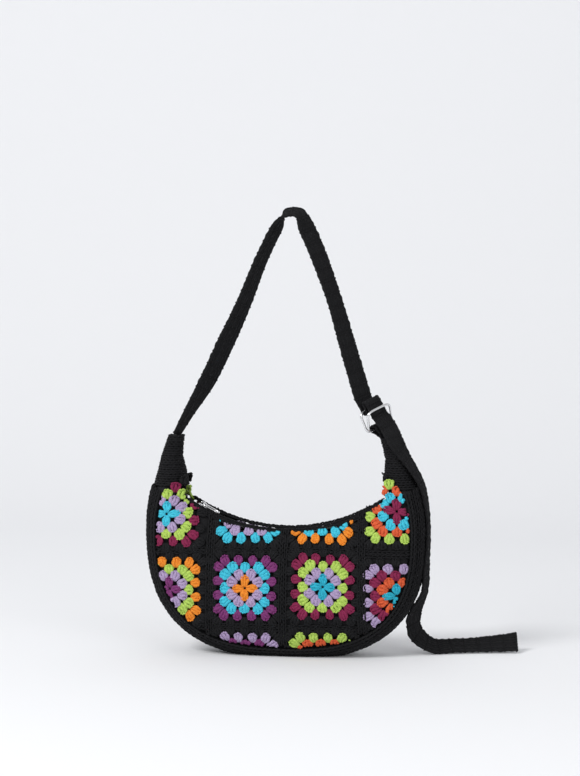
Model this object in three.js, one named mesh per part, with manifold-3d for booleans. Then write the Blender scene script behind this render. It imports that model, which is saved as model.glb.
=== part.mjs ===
// Crochet granny square shoulder bag: a half moon body with a zip along its hollow top edge,
// and a flat crochet strap that runs through two wire rings and ends in a loose tail.
// Millimetres, +Z up, the front faces -Y, and the origin is the middle of the flat base.
import * as THREE from "three";
import { mergeVertices } from "three/addons/utils/BufferGeometryUtils.js";
import Module from "manifold-3d";

const wasm = await Module();
wasm.setup();

// Outline of the body, on the inner face of its crochet
const BODY_HALF_WIDTH = 144;
const WIDEST_HEIGHT = 133;
const BELLY_DROP = 134; // from the widest line down to the belly, before it settles flat
const SHOULDER_RISE = 142; // half height of the ellipse above the widest line
const BELLY_POWER = 2.6;
const PANEL_TOP = 176; // where the panels end and the sleeves start
const MOUTH_RADIUS = 185;
const MOUTH_HALF_WIDTH = 103; // where the edge turns up to the sleeves
const MOUTH_BOTTOM = 131.5; // lowest point of the hollow top edge
const MOUTH_CENTRE = MOUTH_BOTTOM + MOUTH_RADIUS;

// Thickness of the body from front to back
const BODY_HALF_DEPTH = 31;
const DEPTH_REACH = 52; // how fast a wider crescent becomes deeper
const MOUTH_HALF_GAP = 11.5;
const DEEPEST_SHARE = 0.45;
const SIDE_POWER = 2.6;

// Cloth
const CROCHET = 3;
const LINING = 1.2;
const LINING_GAP = 1.5; // between the crochet and the lining
const LINING_BELOW_ZIP = 2.5;
const FIT = 0.4; // gap between neighbouring pieces of cloth
const SEAM_INSET = 12; // from the outline to the seam with the edge band
const SEAM_GAP = 0.8; // between the panels and the edge band
const SEAM_RIDGE = 2;

// Granny squares
const ROUND_EDGES = [13.5, 19.5, 27, 33.4]; // half width of each round, the first is a star
const INNER_EDGES = [0, 10.2, 20.2, 27.6]; // where the clusters of each round begin
const BACK_OVERLAP = 0.7;
const BACK_BULGE = 0.8;
const SLIVER = 0.06; // narrower faces than this are merged into their neighbours
const FUSED = 1.2; // how far the clusters of a back square reach into the round inside
const CHAIN_WIDTH = 1.2;
const CLUSTER_HEIGHT = 3.4;
const CLUSTER_HEAD = 0.38; // shares of the distance from cluster to cluster
const CLUSTER_FOOT = [0, 0.11, 0.18, 0.2];
const CLUSTER_LEAN = [0, 0.8, 0.9, 0.95];
const YARN_LIFT = 0.3;
const WINDOW_GAP = 0.45;
const JOIN_RIDGE_WIDTH = 5;
const JOIN_RIDGE_HEIGHT = 1.2;

// Zip
const ZIP_DROP = 3.2; // below the hollow top edge
const ZIP_HALF_ANGLE = THREE.MathUtils.degToRad(30.5);
const TAPE_THICKNESS = 0.9;
const TAPE_INNER = 1.5;
const TAPE_FIT = 1.2; // between the tape and the crochet it's sewn to
const TEETH_INNER = 0.7;
const TEETH_OUTER = 3.2;
const TEETH_ROOT = 1;
const TEETH_LIFT = 0.3; // above the tape
const TEETH_HEIGHT = 1.5;
const TOOTH_PITCH = 7;
const SLIDER_LENGTH = 11;
const SLIDER_HALF_WIDTH = 4.4;
const SLIDER_PLATE = 1.4;
const SLIDER_POST = 0.7;
const SLIDER_PLAY = 0.5;
const PULLER_PLAY = 0.45;
const PULLER_WIRE = 1.7;
const PULLER_LENGTH = 19;
const PULLER_WIDTH = 9;

// Sleeves at the two horns
const SLEEVE_TOP = 228;
const SLEEVE_RIBS = 7;
const SLEEVE_RIB_HEIGHT = 0.9;

// Strap, tab and rings
const STRAP_WIDTH = 25;
const STRAP_THICKNESS = 3;
const SCALLOP_PITCH = 14;
const SCALLOP_DEPTH = 1.1;
const STRAP_APEX = new THREE.Vector3(9, 0, 461);
const APEX_RADIUS = 11;
const RING_POINT = new THREE.Vector3(90, 0, 256);
const RING_WIRE = 2.6;
const RING_WIDTH = 31;
const RING_LENGTH = 21;
const RING_PLAY = 1.1; // between a ring and the strap that runs past it
const TAIL_REACH = 239; // x of the loose end

const GROUND = 0;

const CHARCOAL = 0x1b1b1e;
const COLOURS = {
  black: CHARCOAL,
  cyan: 0x35b5d6,
  teal: 0x1f9ab8,
  lavender: 0xab93c6,
  lime: 0xa9cb4b,
  raspberry: 0x9a2a56,
  orange: 0xee7f1f,
  coral: 0xe2572f,
  purple: 0x8a3484,
};

const group = new THREE.Group();
const V = (x, y, z) => new THREE.Vector3(x, y, z);
const planePoint = (x, y) => new THREE.Vector2(x, y);

function place(name, geometry, colour, roughness = 0.95, metalness = 0) {
  const material = new THREE.MeshStandardMaterial({ color: colour, roughness, metalness });
  const mesh = new THREE.Mesh(geometry, material);
  mesh.name = name;
  group.add(mesh);
}

// Closed meshes as manifold solids and back
function toSolid(geometry) {
  const bare = new THREE.BufferGeometry();
  bare.setAttribute("position", geometry.getAttribute("position"));
  if (geometry.index) bare.setIndex(geometry.index);
  const merged = mergeVertices(bare, 1e-3);
  return new wasm.Manifold(
    new wasm.Mesh({
      numProp: 3,
      vertProperties: merged.attributes.position.array,
      triVerts: new Uint32Array(merged.index.array),
    }),
  );
}

function toGeometry(solid) {
  const mesh = solid.getMesh();
  const positions = new Float32Array(mesh.numVert * 3);
  for (let i = 0; i < mesh.numVert; i++) {
    positions.set(mesh.vertProperties.subarray(i * mesh.numProp, i * mesh.numProp + 3), i * 3);
  }
  const geometry = new THREE.BufferGeometry();
  geometry.setAttribute("position", new THREE.BufferAttribute(positions, 3));
  geometry.setIndex(new THREE.BufferAttribute(new Uint32Array(mesh.triVerts), 1));
  return geometry;
}

function joined(solids) {
  return solids.reduce((sum, next) => sum.add(next));
}

// The largest body of a cut solid: stitches that the cut sets free are dropped
function largest(solid) {
  return solid.decompose().reduce((best, next) => (next.volume() > best.volume() ? next : best));
}

// Halves every edge longer than the limit, so that a flat solid can bend smoothly
function splitLongEdges(geometry, limit) {
  const points = [];
  const source = geometry.getAttribute("position");
  for (let i = 0; i < source.count; i++) points.push(new THREE.Vector3().fromBufferAttribute(source, i));
  let triangles = [];
  for (let i = 0; i < geometry.index.count; i += 3) {
    triangles.push([0, 1, 2].map((k) => geometry.index.getX(i + k)));
  }
  let split = true;
  while (split) {
    split = false;
    const middles = new Map();
    const middle = (a, b) => {
      if (points[a].distanceTo(points[b]) <= limit) return -1;
      const key = a < b ? a + "_" + b : b + "_" + a;
      if (!middles.has(key)) {
        middles.set(key, points.length);
        points.push(points[a].clone().lerp(points[b], 0.5));
      }
      return middles.get(key);
    };
    const next = [];
    for (const [a, b, c] of triangles) {
      const ab = middle(a, b);
      const bc = middle(b, c);
      const ca = middle(c, a);
      const loop = [a, ab, b, bc, c, ca].filter((v) => v >= 0);
      if (loop.length === 3) next.push([a, b, c]);
      else if (loop.length === 6) next.push([a, ab, ca], [ab, b, bc], [ca, bc, c], [ab, bc, ca]);
      else {
        // the fan starts at a middle, so that no triangle lies along one edge
        const start = loop.findIndex((v) => v === ab || v === bc || v === ca);
        const turned = loop.slice(start).concat(loop.slice(0, start));
        for (let k = 1; k < turned.length - 1; k++) next.push([turned[0], turned[k], turned[k + 1]]);
      }
      if (loop.length > 3) split = true;
    }
    triangles = next.filter(([a, b, c]) => a !== b && b !== c && c !== a);
  }
  const result = new THREE.BufferGeometry().setFromPoints(points);
  result.setIndex(triangles.flat());
  return result;
}

function bent(geometry, move) {
  const position = geometry.getAttribute("position");
  const point = new THREE.Vector3();
  for (let i = 0; i < position.count; i++) {
    move(point.fromBufferAttribute(position, i));
    position.setXYZ(i, point.x, point.y, point.z);
  }
  return geometry;
}

// A prism over a flat outline, from one height to another
function prism(points, low, high) {
  const geometry = new THREE.ExtrudeGeometry(new THREE.Shape(points), {
    depth: high - low,
    bevelEnabled: false,
  });
  return toSolid(geometry.translate(0, 0, low));
}

// A closed shell between two grids of points of the same size
function shell(outer, inner, closedRows = false) {
  const rows = outer.length;
  const columns = outer[0].length;
  const points = outer.flat().concat(inner.flat());
  const out = (i, j) => (i % rows) * columns + j;
  const into = (i, j) => rows * columns + out(i, j);
  const triangles = [];
  const quad = (a, b, c, d) => triangles.push(a, b, c, a, c, d);
  const last = closedRows ? rows : rows - 1;
  for (let i = 0; i < last; i++) {
    for (let j = 0; j < columns - 1; j++) {
      quad(out(i, j), out(i + 1, j), out(i + 1, j + 1), out(i, j + 1));
      quad(into(i, j), into(i, j + 1), into(i + 1, j + 1), into(i + 1, j));
    }
    quad(out(i, 0), into(i, 0), into(i + 1, 0), out(i + 1, 0));
    quad(out(i, columns - 1), out(i + 1, columns - 1), into(i + 1, columns - 1), into(i, columns - 1));
  }
  if (!closedRows) {
    for (let j = 0; j < columns - 1; j++) {
      quad(out(0, j), out(0, j + 1), into(0, j + 1), into(0, j));
      quad(out(rows - 1, j), into(rows - 1, j), into(rows - 1, j + 1), out(rows - 1, j + 1));
    }
  }
  return facingOut(points, triangles);
}

// A solid through a row of closed sections, with fans over its two ends
function loft(sections, closedLoop = false) {
  const count = sections.length;
  const sides = sections[0].length;
  const triangles = [];
  const at = (i, j) => (i % count) * sides + (j % sides);
  for (let i = 0; i < (closedLoop ? count : count - 1); i++) {
    for (let j = 0; j < sides; j++) {
      triangles.push(at(i, j), at(i + 1, j), at(i + 1, j + 1));
      triangles.push(at(i, j), at(i + 1, j + 1), at(i, j + 1));
    }
  }
  if (!closedLoop) {
    for (let j = 1; j < sides - 1; j++) {
      triangles.push(at(0, 0), at(0, j), at(0, j + 1));
      triangles.push(at(count - 1, 0), at(count - 1, j + 1), at(count - 1, j));
    }
  }
  return facingOut(sections.flat(), triangles);
}

function facingOut(points, triangles) {
  let volume = 0;
  for (let i = 0; i < triangles.length; i += 3) {
    const [a, b, c] = [points[triangles[i]], points[triangles[i + 1]], points[triangles[i + 2]]];
    volume += a.dot(b.clone().cross(c));
  }
  if (volume < 0) {
    for (let i = 0; i < triangles.length; i += 3) {
      [triangles[i + 1], triangles[i + 2]] = [triangles[i + 2], triangles[i + 1]];
    }
  }
  const geometry = new THREE.BufferGeometry().setFromPoints(points);
  geometry.setIndex(triangles);
  return geometry;
}

// Outline of the body from the left horn round the belly to the right horn, as [x, z] points
function outlinePoint(turn) {
  // turn runs from -1 at the left horn to 1 at the right horn
  const hornAngle = Math.asin((PANEL_TOP - WIDEST_HEIGHT) / SHOULDER_RISE);
  const angle = turn * (Math.PI / 2 + hornAngle) - Math.PI / 2;
  const c = Math.cos(angle);
  const s = Math.sin(angle);
  if (s > 0) return planePoint(BODY_HALF_WIDTH * c, WIDEST_HEIGHT + SHOULDER_RISE * s);
  const power = 2 / BELLY_POWER;
  return planePoint(
    BODY_HALF_WIDTH * Math.sign(c) * Math.abs(c) ** power,
    WIDEST_HEIGHT - BELLY_DROP * Math.abs(s) ** power,
  );
}

const OUTLINE_STEPS = 160;
const outline = [];
for (let i = 0; i <= OUTLINE_STEPS; i++) outline.push(outlinePoint((2 * i) / OUTLINE_STEPS - 1));

// The outline goes on up the horns for the distance measure
function hornPoint(side, height) {
  const s = Math.min(1, (height - WIDEST_HEIGHT) / SHOULDER_RISE);
  return planePoint(side * BODY_HALF_WIDTH * Math.sqrt(1 - s * s), height);
}
const HORN_REACH = 60;
const measured = [hornPoint(-1, PANEL_TOP + HORN_REACH), ...outline, hornPoint(1, PANEL_TOP + HORN_REACH)];

function distanceToOutline(x, z) {
  const point = new THREE.Vector3(x, z, 0);
  const line = new THREE.Line3();
  const near = new THREE.Vector3();
  let best = Infinity;
  for (let i = 0; i < measured.length - 1; i++) {
    line.start.set(measured[i].x, measured[i].y, 0);
    line.end.set(measured[i + 1].x, measured[i + 1].y, 0);
    line.closestPointToPoint(point, true, near);
    best = Math.min(best, near.distanceTo(point));
  }
  return best;
}

function distanceToMouth(x, z) {
  const below = Math.max(0, Math.hypot(x, z - MOUTH_CENTRE) - MOUTH_RADIUS);
  return Math.hypot(below, Math.max(0, Math.abs(x) - MOUTH_HALF_WIDTH));
}

// Half depth of the body at a share of the way from its outline to its mouth
function halfDepth(share, width) {
  const swell = 1.1 * (1 - Math.exp(-width / DEPTH_REACH));
  const most = MOUTH_HALF_GAP + (BODY_HALF_DEPTH - MOUTH_HALF_GAP) * swell;
  if (share < DEEPEST_SHARE) {
    const left = 1 - share / DEEPEST_SHARE;
    return most * (1 - left ** SIDE_POWER) ** (1 / SIDE_POWER);
  }
  const over = (share - DEEPEST_SHARE) / (1 - DEEPEST_SHARE);
  return most - (most - MOUTH_HALF_GAP) * over * over;
}

function surfaceDepth(x, z) {
  const fromOutline = distanceToOutline(x, z);
  const width = fromOutline + distanceToMouth(x, z);
  return halfDepth(fromOutline / width, width);
}

// Moves a flat point (x, height up the panel, height above the cloth) onto the front or back
function ontoPanel(side) {
  const reach = 0.5;
  return (point) => {
    const { x, y: z, z: lift } = point;
    const depth = surfaceDepth(x, z);
    const slopeX = (surfaceDepth(x + reach, z) - surfaceDepth(x - reach, z)) / (2 * reach);
    const slopeZ = (surfaceDepth(x, z + reach) - surfaceDepth(x, z - reach)) / (2 * reach);
    const out = new THREE.Vector3(-slopeX, 1, -slopeZ).normalize();
    point.set(x + out.x * lift, side * (depth + out.y * lift), z + out.z * lift);
  };
}

// Point on the mouth, or offset outside it, for turn from -1 to 1: up a side, round the arc, up the other
function mouthPoint(turn, offset) {
  const radius = MOUTH_RADIUS + offset;
  const wall = MOUTH_HALF_WIDTH + offset;
  const corner = Math.asin(wall / radius);
  const cornerHeight = MOUTH_CENTRE - radius * Math.cos(corner);
  const along = Math.abs(turn) * (corner * radius + PANEL_TOP - cornerHeight) - corner * radius;
  if (along > 0) return planePoint(Math.sign(turn) * wall, cornerHeight + along);
  const angle = Math.sign(turn) * (along / radius + corner);
  return planePoint(radius * Math.sin(angle), MOUTH_CENTRE - radius * Math.cos(angle));
}

// Panel region: the seam with the edge band, then back along the mouth
function panelRegion() {
  const points = [];
  for (let i = 0; i <= OUTLINE_STEPS; i += 4) {
    const before = measured[i];
    const after = measured[i + 2];
    const along = after.clone().sub(before).normalize();
    const inward = planePoint(-along.y, along.x);
    points.push(outline[i].clone().addScaledVector(inward, SEAM_INSET));
  }
  const last = points.length - 1;
  for (const [end, next] of [[0, 1], [last, last - 1]]) {
    const onward = points[end].clone().sub(points[next]);
    points[end].addScaledVector(onward, (PANEL_TOP - points[end].y) / onward.y);
  }
  const steps = 28;
  for (let i = 0; i <= steps; i++) points.push(mouthPoint(1 - (2 * i) / steps, 0));
  return points;
}
const region = panelRegion();
const CLUSTER_SPLIT = 40;
const HORN_SPLIT = 13;
const BORDER_SPLIT = 34;

// Granny squares: where each square's middle is, and its yarns from the middle out
const squares = [
  { name: "top_1", x: -121.5, z: 147.5, yarn: ["cyan", "lavender", "lime", "raspberry"] },
  { name: "top_2", x: -37, z: 150.5, yarn: [null, null, "lavender", "cyan"] },
  { name: "top_3", x: 41.5, z: 151, yarn: [null, null, "cyan", "orange"] },
  { name: "top_4", x: 119.5, z: 154.5, yarn: ["raspberry", "cyan", "coral", "lime"] },
  { name: "middle_1", x: -117.5, z: 70, yarn: ["purple", "lavender", "lime", "orange"] },
  { name: "middle_2", x: -38, z: 72.5, yarn: ["orange", "lavender", "cyan", "purple"] },
  { name: "middle_3", x: 43.5, z: 75.5, yarn: ["teal", "lavender", "lime", "raspberry"] },
  { name: "middle_4", x: 118.5, z: 68, yarn: ["teal", "coral", "raspberry", "lavender"] },
  { name: "bottom_2", x: -38, z: -6.5, yarn: [null, null, "purple", "lavender"] },
  { name: "bottom_3", x: 41, z: -4.5, yarn: [null, null, "coral", "lime"] },
];
const COLUMN_SEAMS = [-75, 1.5, 83.5];
const HORN_COLUMNS = 79; // the squares further out than this bend more

function rectangle(x0, z0, x1, z1) {
  return [planePoint(x0, z0), planePoint(x1, z0), planePoint(x1, z1), planePoint(x0, z1)];
}

function turnedAbout(points, quarter, x, z) {
  const centre = planePoint(0, 0);
  const turn = (quarter * Math.PI) / 2;
  return points.map((p) => p.clone().rotateAround(centre, turn).add(planePoint(x, z)));
}

// The first round is a star of four petals: tip, side, valley and the next petal's side
const PETAL = [[0, 1], [0.455, 0.715], [0.24, 0.24], [0.715, 0.455]];
function starOutline() {
  const edge = ROUND_EDGES[0];
  const points = [];
  for (let quarter = 0; quarter < 4; quarter++) {
    const petal = PETAL.map(([u, v]) => planePoint(edge * u, edge * v));
    points.push(...turnedAbout(petal, -quarter, 0, 0));
  }
  return points;
}

// The other rounds are a comb: a chain along the outer edge with clusters that stand in from it
function combHole(round, overlap) {
  const edge = ROUND_EDGES[round] - CHAIN_WIDTH;
  const inside = INNER_EDGES[round] - overlap;
  const clusters = round + 1;
  const pitch = (2 * ROUND_EDGES[round]) / clusters;
  const points = [];
  for (let quarter = 0; quarter < 4; quarter++) {
    const side = [];
    for (let k = 0; k < clusters; k++) {
      const middle = -ROUND_EDGES[round] + pitch * (k + 0.5);
      const foot = middle * CLUSTER_LEAN[round];
      side.push(
        planePoint(middle - pitch * CLUSTER_HEAD, edge),
        planePoint(foot - pitch * CLUSTER_FOOT[round], inside),
        planePoint(foot + pitch * CLUSTER_FOOT[round], inside),
        planePoint(middle + pitch * CLUSTER_HEAD, edge),
      );
    }
    points.push(...turnedAbout(side, -quarter, 0, 0));
  }
  return points;
}

function roundSolid(round, x, z, overlap = 0) {
  const edge = ROUND_EDGES[round];
  const shape = new THREE.Shape(round ? rectangle(-edge, -edge, edge, edge) : starOutline());
  if (round) shape.holes.push(new THREE.Path(combHole(round, overlap)));
  const geometry = new THREE.ExtrudeGeometry(shape, { depth: CLUSTER_HEIGHT, bevelEnabled: false });
  return toSolid(geometry.translate(x, z, YARN_LIFT));
}

// The ground inside the last round of a back square has a corner behind each cluster
function backGround(x, z) {
  const half = INNER_EDGES[3] + BACK_OVERLAP;
  const clusters = 4;
  const side = [];
  for (let k = 0; k < clusters; k++) {
    const u = ROUND_EDGES[3] * CLUSTER_LEAN[3] * ((2 * k + 1) / clusters - 1);
    side.push(planePoint(u, half + BACK_BULGE * (1 - (u / half) ** 2)));
  }
  const points = [];
  for (let quarter = 0; quarter < 4; quarter++) points.push(...turnedAbout(side, -quarter, x, z));
  return points.reverse();
}

const regionSolid = prism(region, -1, CLUSTER_HEIGHT + 2 * CROCHET);

function laidOnPanel(solid, side, limit) {
  const flat = toGeometry(largest(solid.intersect(regionSolid)).simplify(SLIVER));
  const geometry = bent(splitLongEdges(flat, limit), ontoPanel(side));
  const laid = toSolid(side < 0 ? geometry : mirrored(geometry));
  return toGeometry(largest(laid).simplify(SLIVER));
}

// Laying a flat solid on the back turns its faces round
function mirrored(geometry) {
  const index = geometry.index.array.slice();
  for (let i = 0; i < index.length; i += 3) [index[i + 1], index[i + 2]] = [index[i + 2], index[i + 1]];
  geometry.setIndex(new THREE.BufferAttribute(index, 1));
  return geometry;
}

// The black crochet of a panel: borders of the squares, with a window where the colours sit
function blackCrochet(side) {
  let solid = prism(region, 0, CROCHET);
  for (const x of COLUMN_SEAMS) {
    const ridge = rectangle(x - JOIN_RIDGE_WIDTH / 2, 0, x + JOIN_RIDGE_WIDTH / 2, PANEL_TOP);
    solid = solid.add(prism(ridge, CROCHET / 2, CROCHET + JOIN_RIDGE_HEIGHT));
  }
  const half = ROUND_EDGES[3] + WINDOW_GAP;
  for (const square of squares) {
    const window = rectangle(square.x - half, square.z - half, square.x + half, square.z + half);
    solid = solid.subtract(prism(window, -1, 2 * CROCHET));
  }
  return laidOnPanel(solid, side, BORDER_SPLIT);
}

function splitOf(square) {
  return Math.abs(square.x) > HORN_COLUMNS ? HORN_SPLIT : CLUSTER_SPLIT;
}

// A back square is one piece: its outer clusters round a flat middle with the star on it
function backSquare({ x, z, yarn }) {
  const middle = prism(backGround(x, z), YARN_LIFT, YARN_LIFT + CROCHET / 2);
  const parts = [roundSolid(3, x, z, FUSED), middle];
  if (yarn[0]) parts.push(roundSolid(0, x, z));
  return joined(parts);
}

for (const square of squares) {
  square.yarn.forEach((yarn, round) => {
    if (!yarn) return;
    const solid = roundSolid(round, square.x, square.z);
    const name = "front_" + square.name + "_round_" + (round + 1);
    place(name, laidOnPanel(solid, -1, splitOf(square)), COLOURS[yarn]);
  });
  place("back_" + square.name, laidOnPanel(backSquare(square), 1, splitOf(square)), COLOURS[square.yarn[3]]);
}
place("front_crochet", blackCrochet(-1), COLOURS.black);
place("back_crochet", blackCrochet(1), COLOURS.black);


// Sections of the body across its outline, as [distance in from the outline, half depth]
const STATION_STEP = 4;
const stations = [];
for (let i = 0; i <= OUTLINE_STEPS; i += STATION_STEP) {
  const along = measured[i + 2].clone().sub(measured[i]).normalize();
  stations.push({
    rim: outline[i],
    inward: planePoint(-along.y, along.x),
    turn: (2 * i) / OUTLINE_STEPS - 1,
  });
}

// Offsets a half section by its own normals: the section runs from its deep end to the rim
function thickened(section, lifts) {
  return section.map(([d, y], k) => {
    const [d0, y0] = section[Math.max(0, k - 1)];
    const [d1, y1] = k === section.length - 1 ? [d0, -y0] : section[k + 1];
    const normal = planePoint(y1 - y0, d0 - d1).normalize();
    return [d + normal.x * lifts[k], y + normal.y * lifts[k]];
  });
}

// Both halves of a section, front to back, set in space at a station
function acrossSection(half, rim, inward, low, high) {
  const whole = half.map(([d, y]) => [d, -y]).concat(half.slice(0, -1).reverse());
  return whole.map(([d, y]) => {
    const x = rim.x + inward.x * d;
    const z = rim.y + inward.y * d;
    return new THREE.Vector3(x, y, THREE.MathUtils.clamp(z, low, high));
  });
}

// The crochet band round the edge, with a raised ridge along its two seams
function edgeBand() {
  const depths = [SEAM_INSET - SEAM_GAP, 7.5, 3.2, 0.8, 0];
  const outer = [];
  const inner = [];
  for (const { rim, inward } of stations) {
    const seam = rim.clone().addScaledVector(inward, SEAM_INSET);
    const width = SEAM_INSET + distanceToMouth(seam.x, seam.y);
    const half = depths.map((d) => [d, halfDepth(d / width, width)]);
    const lifts = depths.map((d, k) => CROCHET + (k < 2 ? SEAM_RIDGE : 0));
    outer.push(acrossSection(thickened(half, lifts), rim, inward, GROUND, PANEL_TOP));
    inner.push(acrossSection(half, rim, inward, GROUND + CROCHET, PANEL_TOP));
  }
  return shell(outer, inner);
}
place("edge_band", edgeBand(), COLOURS.black);

// The lining hangs inside the crochet and is open along the mouth
function lining() {
  const shares = [1, 0.75, DEEPEST_SHARE, 0.24, 0.1, 0.02, 0];
  const outer = [];
  const inner = [];
  stations.forEach(({ rim, turn }, i) => {
    if (i % 2) return;
    const top = mouthPoint(turn, ZIP_DROP + LINING_BELOW_ZIP);
    const across = top.clone().sub(rim);
    const width = across.length();
    const inward = across.normalize();
    const half = shares.map((share) => {
      const d = share * width;
      const at = rim.clone().addScaledVector(inward, d);
      return [d, share ? surfaceDepth(at.x, at.y) : 0];
    });
    const out = thickened(half, shares.map(() => -LINING_GAP));
    const into = thickened(half, shares.map(() => -LINING_GAP - LINING));
    const floor = GROUND + CROCHET + LINING_GAP;
    outer.push(acrossSection(out, rim, inward, floor, PANEL_TOP));
    inner.push(acrossSection(into, rim, inward, floor + LINING, PANEL_TOP));
  });
  return shell(outer, inner);
}
place("lining", lining(), 0x242428, 0.8);

// Zip: flat pieces (distance along the zip, distance across, height above the tape) bent to its arc
const TAPE_RADIUS = MOUTH_RADIUS + ZIP_DROP;
const ZIP_HALF_LENGTH = ZIP_HALF_ANGLE * TAPE_RADIUS;
const ZIP_SPLIT = 9;

function ontoZip(middleAngle) {
  return (point) => {
    const angle = middleAngle + point.x / TAPE_RADIUS;
    const radius = TAPE_RADIUS - point.z;
    point.set(radius * Math.sin(angle), point.y, MOUTH_CENTRE - radius * Math.cos(angle));
  };
}

function zipPiece(solid, middleAngle = 0) {
  return bent(splitLongEdges(toGeometry(solid), ZIP_SPLIT), ontoZip(middleAngle));
}

// A strip along the zip through places of [distance along, inner edge, outer edge]
function zipStrip(places, side, low, high) {
  const move = ontoZip(0);
  const sections = places.map(([along, near, far]) => {
    const corners = [[near, low], [far, low], [far, high], [near, high]];
    return corners.map(([y, lift]) => {
      const point = V(along, side * y, lift);
      move(point);
      return point;
    });
  });
  return loft(sections);
}

function zipTape(side) {
  const steps = Math.ceil((2 * ZIP_HALF_LENGTH) / ZIP_SPLIT);
  const places = [];
  for (let k = 0; k <= steps; k++) {
    const along = ZIP_HALF_LENGTH * ((2 * k) / steps - 1);
    const angle = along / TAPE_RADIUS;
    const outer = surfaceDepth(TAPE_RADIUS * Math.sin(angle), MOUTH_CENTRE - TAPE_RADIUS * Math.cos(angle));
    places.push([along, TAPE_INNER, outer - TAPE_FIT]);
  }
  return zipStrip(places, side, -TAPE_THICKNESS, 0);
}

// The teeth of one side are set between those of the other
function zipTeeth(side) {
  const count = 2 * Math.floor(ZIP_HALF_LENGTH / TOOTH_PITCH) - 1;
  const places = [];
  for (let k = 0; k <= 2 * count; k++) {
    const tip = (k + (side > 0 ? 1 : 0)) % 2;
    const near = tip ? TEETH_INNER : TEETH_OUTER - TEETH_ROOT;
    places.push([((k - count) * TOOTH_PITCH) / 2, near, TEETH_OUTER]);
  }
  return zipStrip(places, side, TEETH_LIFT, TEETH_LIFT + TEETH_HEIGHT);
}

for (const [side, name] of [[-1, "front"], [1, "back"]]) {
  place("zip_tape_" + name, zipTape(side), 0x151517, 0.85);
  place("zip_teeth_" + name, zipTeeth(side), 0xb9a880, 0.35, 0.9);
}

// The slider runs on the teeth: a plate above and one below, joined by a post between the chains
const SLIDER_ANGLE = -ZIP_HALF_ANGLE + (SLIDER_LENGTH / 2 + 1) / TAPE_RADIUS;
const PLATE_LOW = TEETH_LIFT + TEETH_HEIGHT + SLIDER_PLAY;
const PLATE_HIGH = PLATE_LOW + SLIDER_PLATE;
const BRIDGE_HALF_LENGTH = 2.2 + PULLER_WIRE;
const BRIDGE_HALF_WIDTH = 1.3;
const BRIDGE_BAR = 1.2;
const BRIDGE_OPENING = PULLER_WIRE + 2 * PULLER_PLAY;

function slider() {
  const l = SLIDER_LENGTH / 2;
  const w = SLIDER_HALF_WIDTH;
  const under = -TAPE_THICKNESS - SLIDER_PLAY;
  const post = rectangle(-l / 2, -SLIDER_POST / 2, l / 2, SLIDER_POST / 2);
  const b = BRIDGE_HALF_LENGTH;
  const bridge = rectangle(-b, -BRIDGE_HALF_WIDTH, b, BRIDGE_HALF_WIDTH);
  const hole = rectangle(-b + BRIDGE_BAR, -w, b - BRIDGE_BAR, w);
  const plate = rectangle(-l, -w, l, w);
  const openTop = PLATE_HIGH + BRIDGE_OPENING;
  const arch = prism(bridge, PLATE_HIGH - 0.2, openTop + BRIDGE_BAR).subtract(prism(hole, PLATE_HIGH, openTop));
  const solid = joined([
    prism(plate, PLATE_LOW, PLATE_HIGH),
    prism(plate, under - SLIDER_PLATE, under),
    prism(post, under - 0.2, PLATE_LOW + 0.2),
    arch,
  ]);
  return zipPiece(solid, SLIDER_ANGLE);
}
place("zip_slider", slider(), 0xc4c4c6, 0.25, 1);

// A closed wire through points, with a round section
function wireLoop(points, wire, sides = 6) {
  const curve = new THREE.CatmullRomCurve3(points, true, "centripetal");
  const count = points.length * 2;
  const up = new THREE.Plane().setFromCoplanarPoints(points[0], points[3], points[6]).normal;
  const sections = [];
  for (let i = 0; i < count; i++) {
    const at = curve.getPoint(i / count);
    const side = curve.getTangent(i / count).cross(up).normalize();
    const ring = [];
    for (let k = 0; k < sides; k++) {
      const angle = (2 * Math.PI * k) / sides;
      const offset = side.clone().multiplyScalar(Math.cos(angle)).addScaledVector(up, Math.sin(angle));
      ring.push(at.clone().addScaledVector(offset, wire / 2));
    }
    sections.push(ring);
  }
  return loft(sections, true);
}

// The puller is a long wire ring that turns in the slider's bridge
const PULLER_HEIGHT = PLATE_HIGH + PULLER_WIRE / 2 + PULLER_PLAY;
function puller() {
  const r = PULLER_WIDTH / 2;
  const far = PULLER_LENGTH - r;
  const flat = [
    [0, -r * 0.55], [0, r * 0.55], [1.6, r * 0.95], [far / 2, r],
    [far, r * 0.9], [PULLER_LENGTH - 0.8, r * 0.45], [PULLER_LENGTH - 0.8, -r * 0.45],
    [far, -r * 0.9], [far / 2, -r], [1.6, -r * 0.95],
  ];
  const tangent = new THREE.Vector3(Math.cos(SLIDER_ANGLE), 0, Math.sin(SLIDER_ANGLE));
  const hinge = new THREE.Vector3(0, 0, PULLER_HEIGHT);
  ontoZip(SLIDER_ANGLE)(hinge);
  const points = flat.map(([u, v]) => hinge.clone().addScaledVector(tangent, u).add(new THREE.Vector3(0, v, 0)));
  return wireLoop(points, PULLER_WIRE);
}
place("zip_puller", puller(), 0xd2d2d4, 0.2, 1);

// Ribbed sleeves: rows of [share of the height, shift of the middle, half width, half depth]
const SLEEVE_ROWS = [
  [0, 0, 17.3, 21],
  [0.22, 0.6, 14.6, 17.5],
  [0.58, 0.6, 10, 12.5],
  [0.85, 3.4, 8, 9.5],
  [1, 5.4, 7.2, 8.6],
];
const SLEEVE_MIDDLE = 121.5;
const SLEEVE_SIDES = 12;

function sleeveRow(share) {
  const after = Math.max(1, SLEEVE_ROWS.findIndex((row) => row[0] >= share));
  const [a, b] = [SLEEVE_ROWS[after - 1], SLEEVE_ROWS[after]];
  const t = (share - a[0]) / (b[0] - a[0]);
  return a.map((value, k) => THREE.MathUtils.lerp(value, b[k], t));
}

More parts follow.
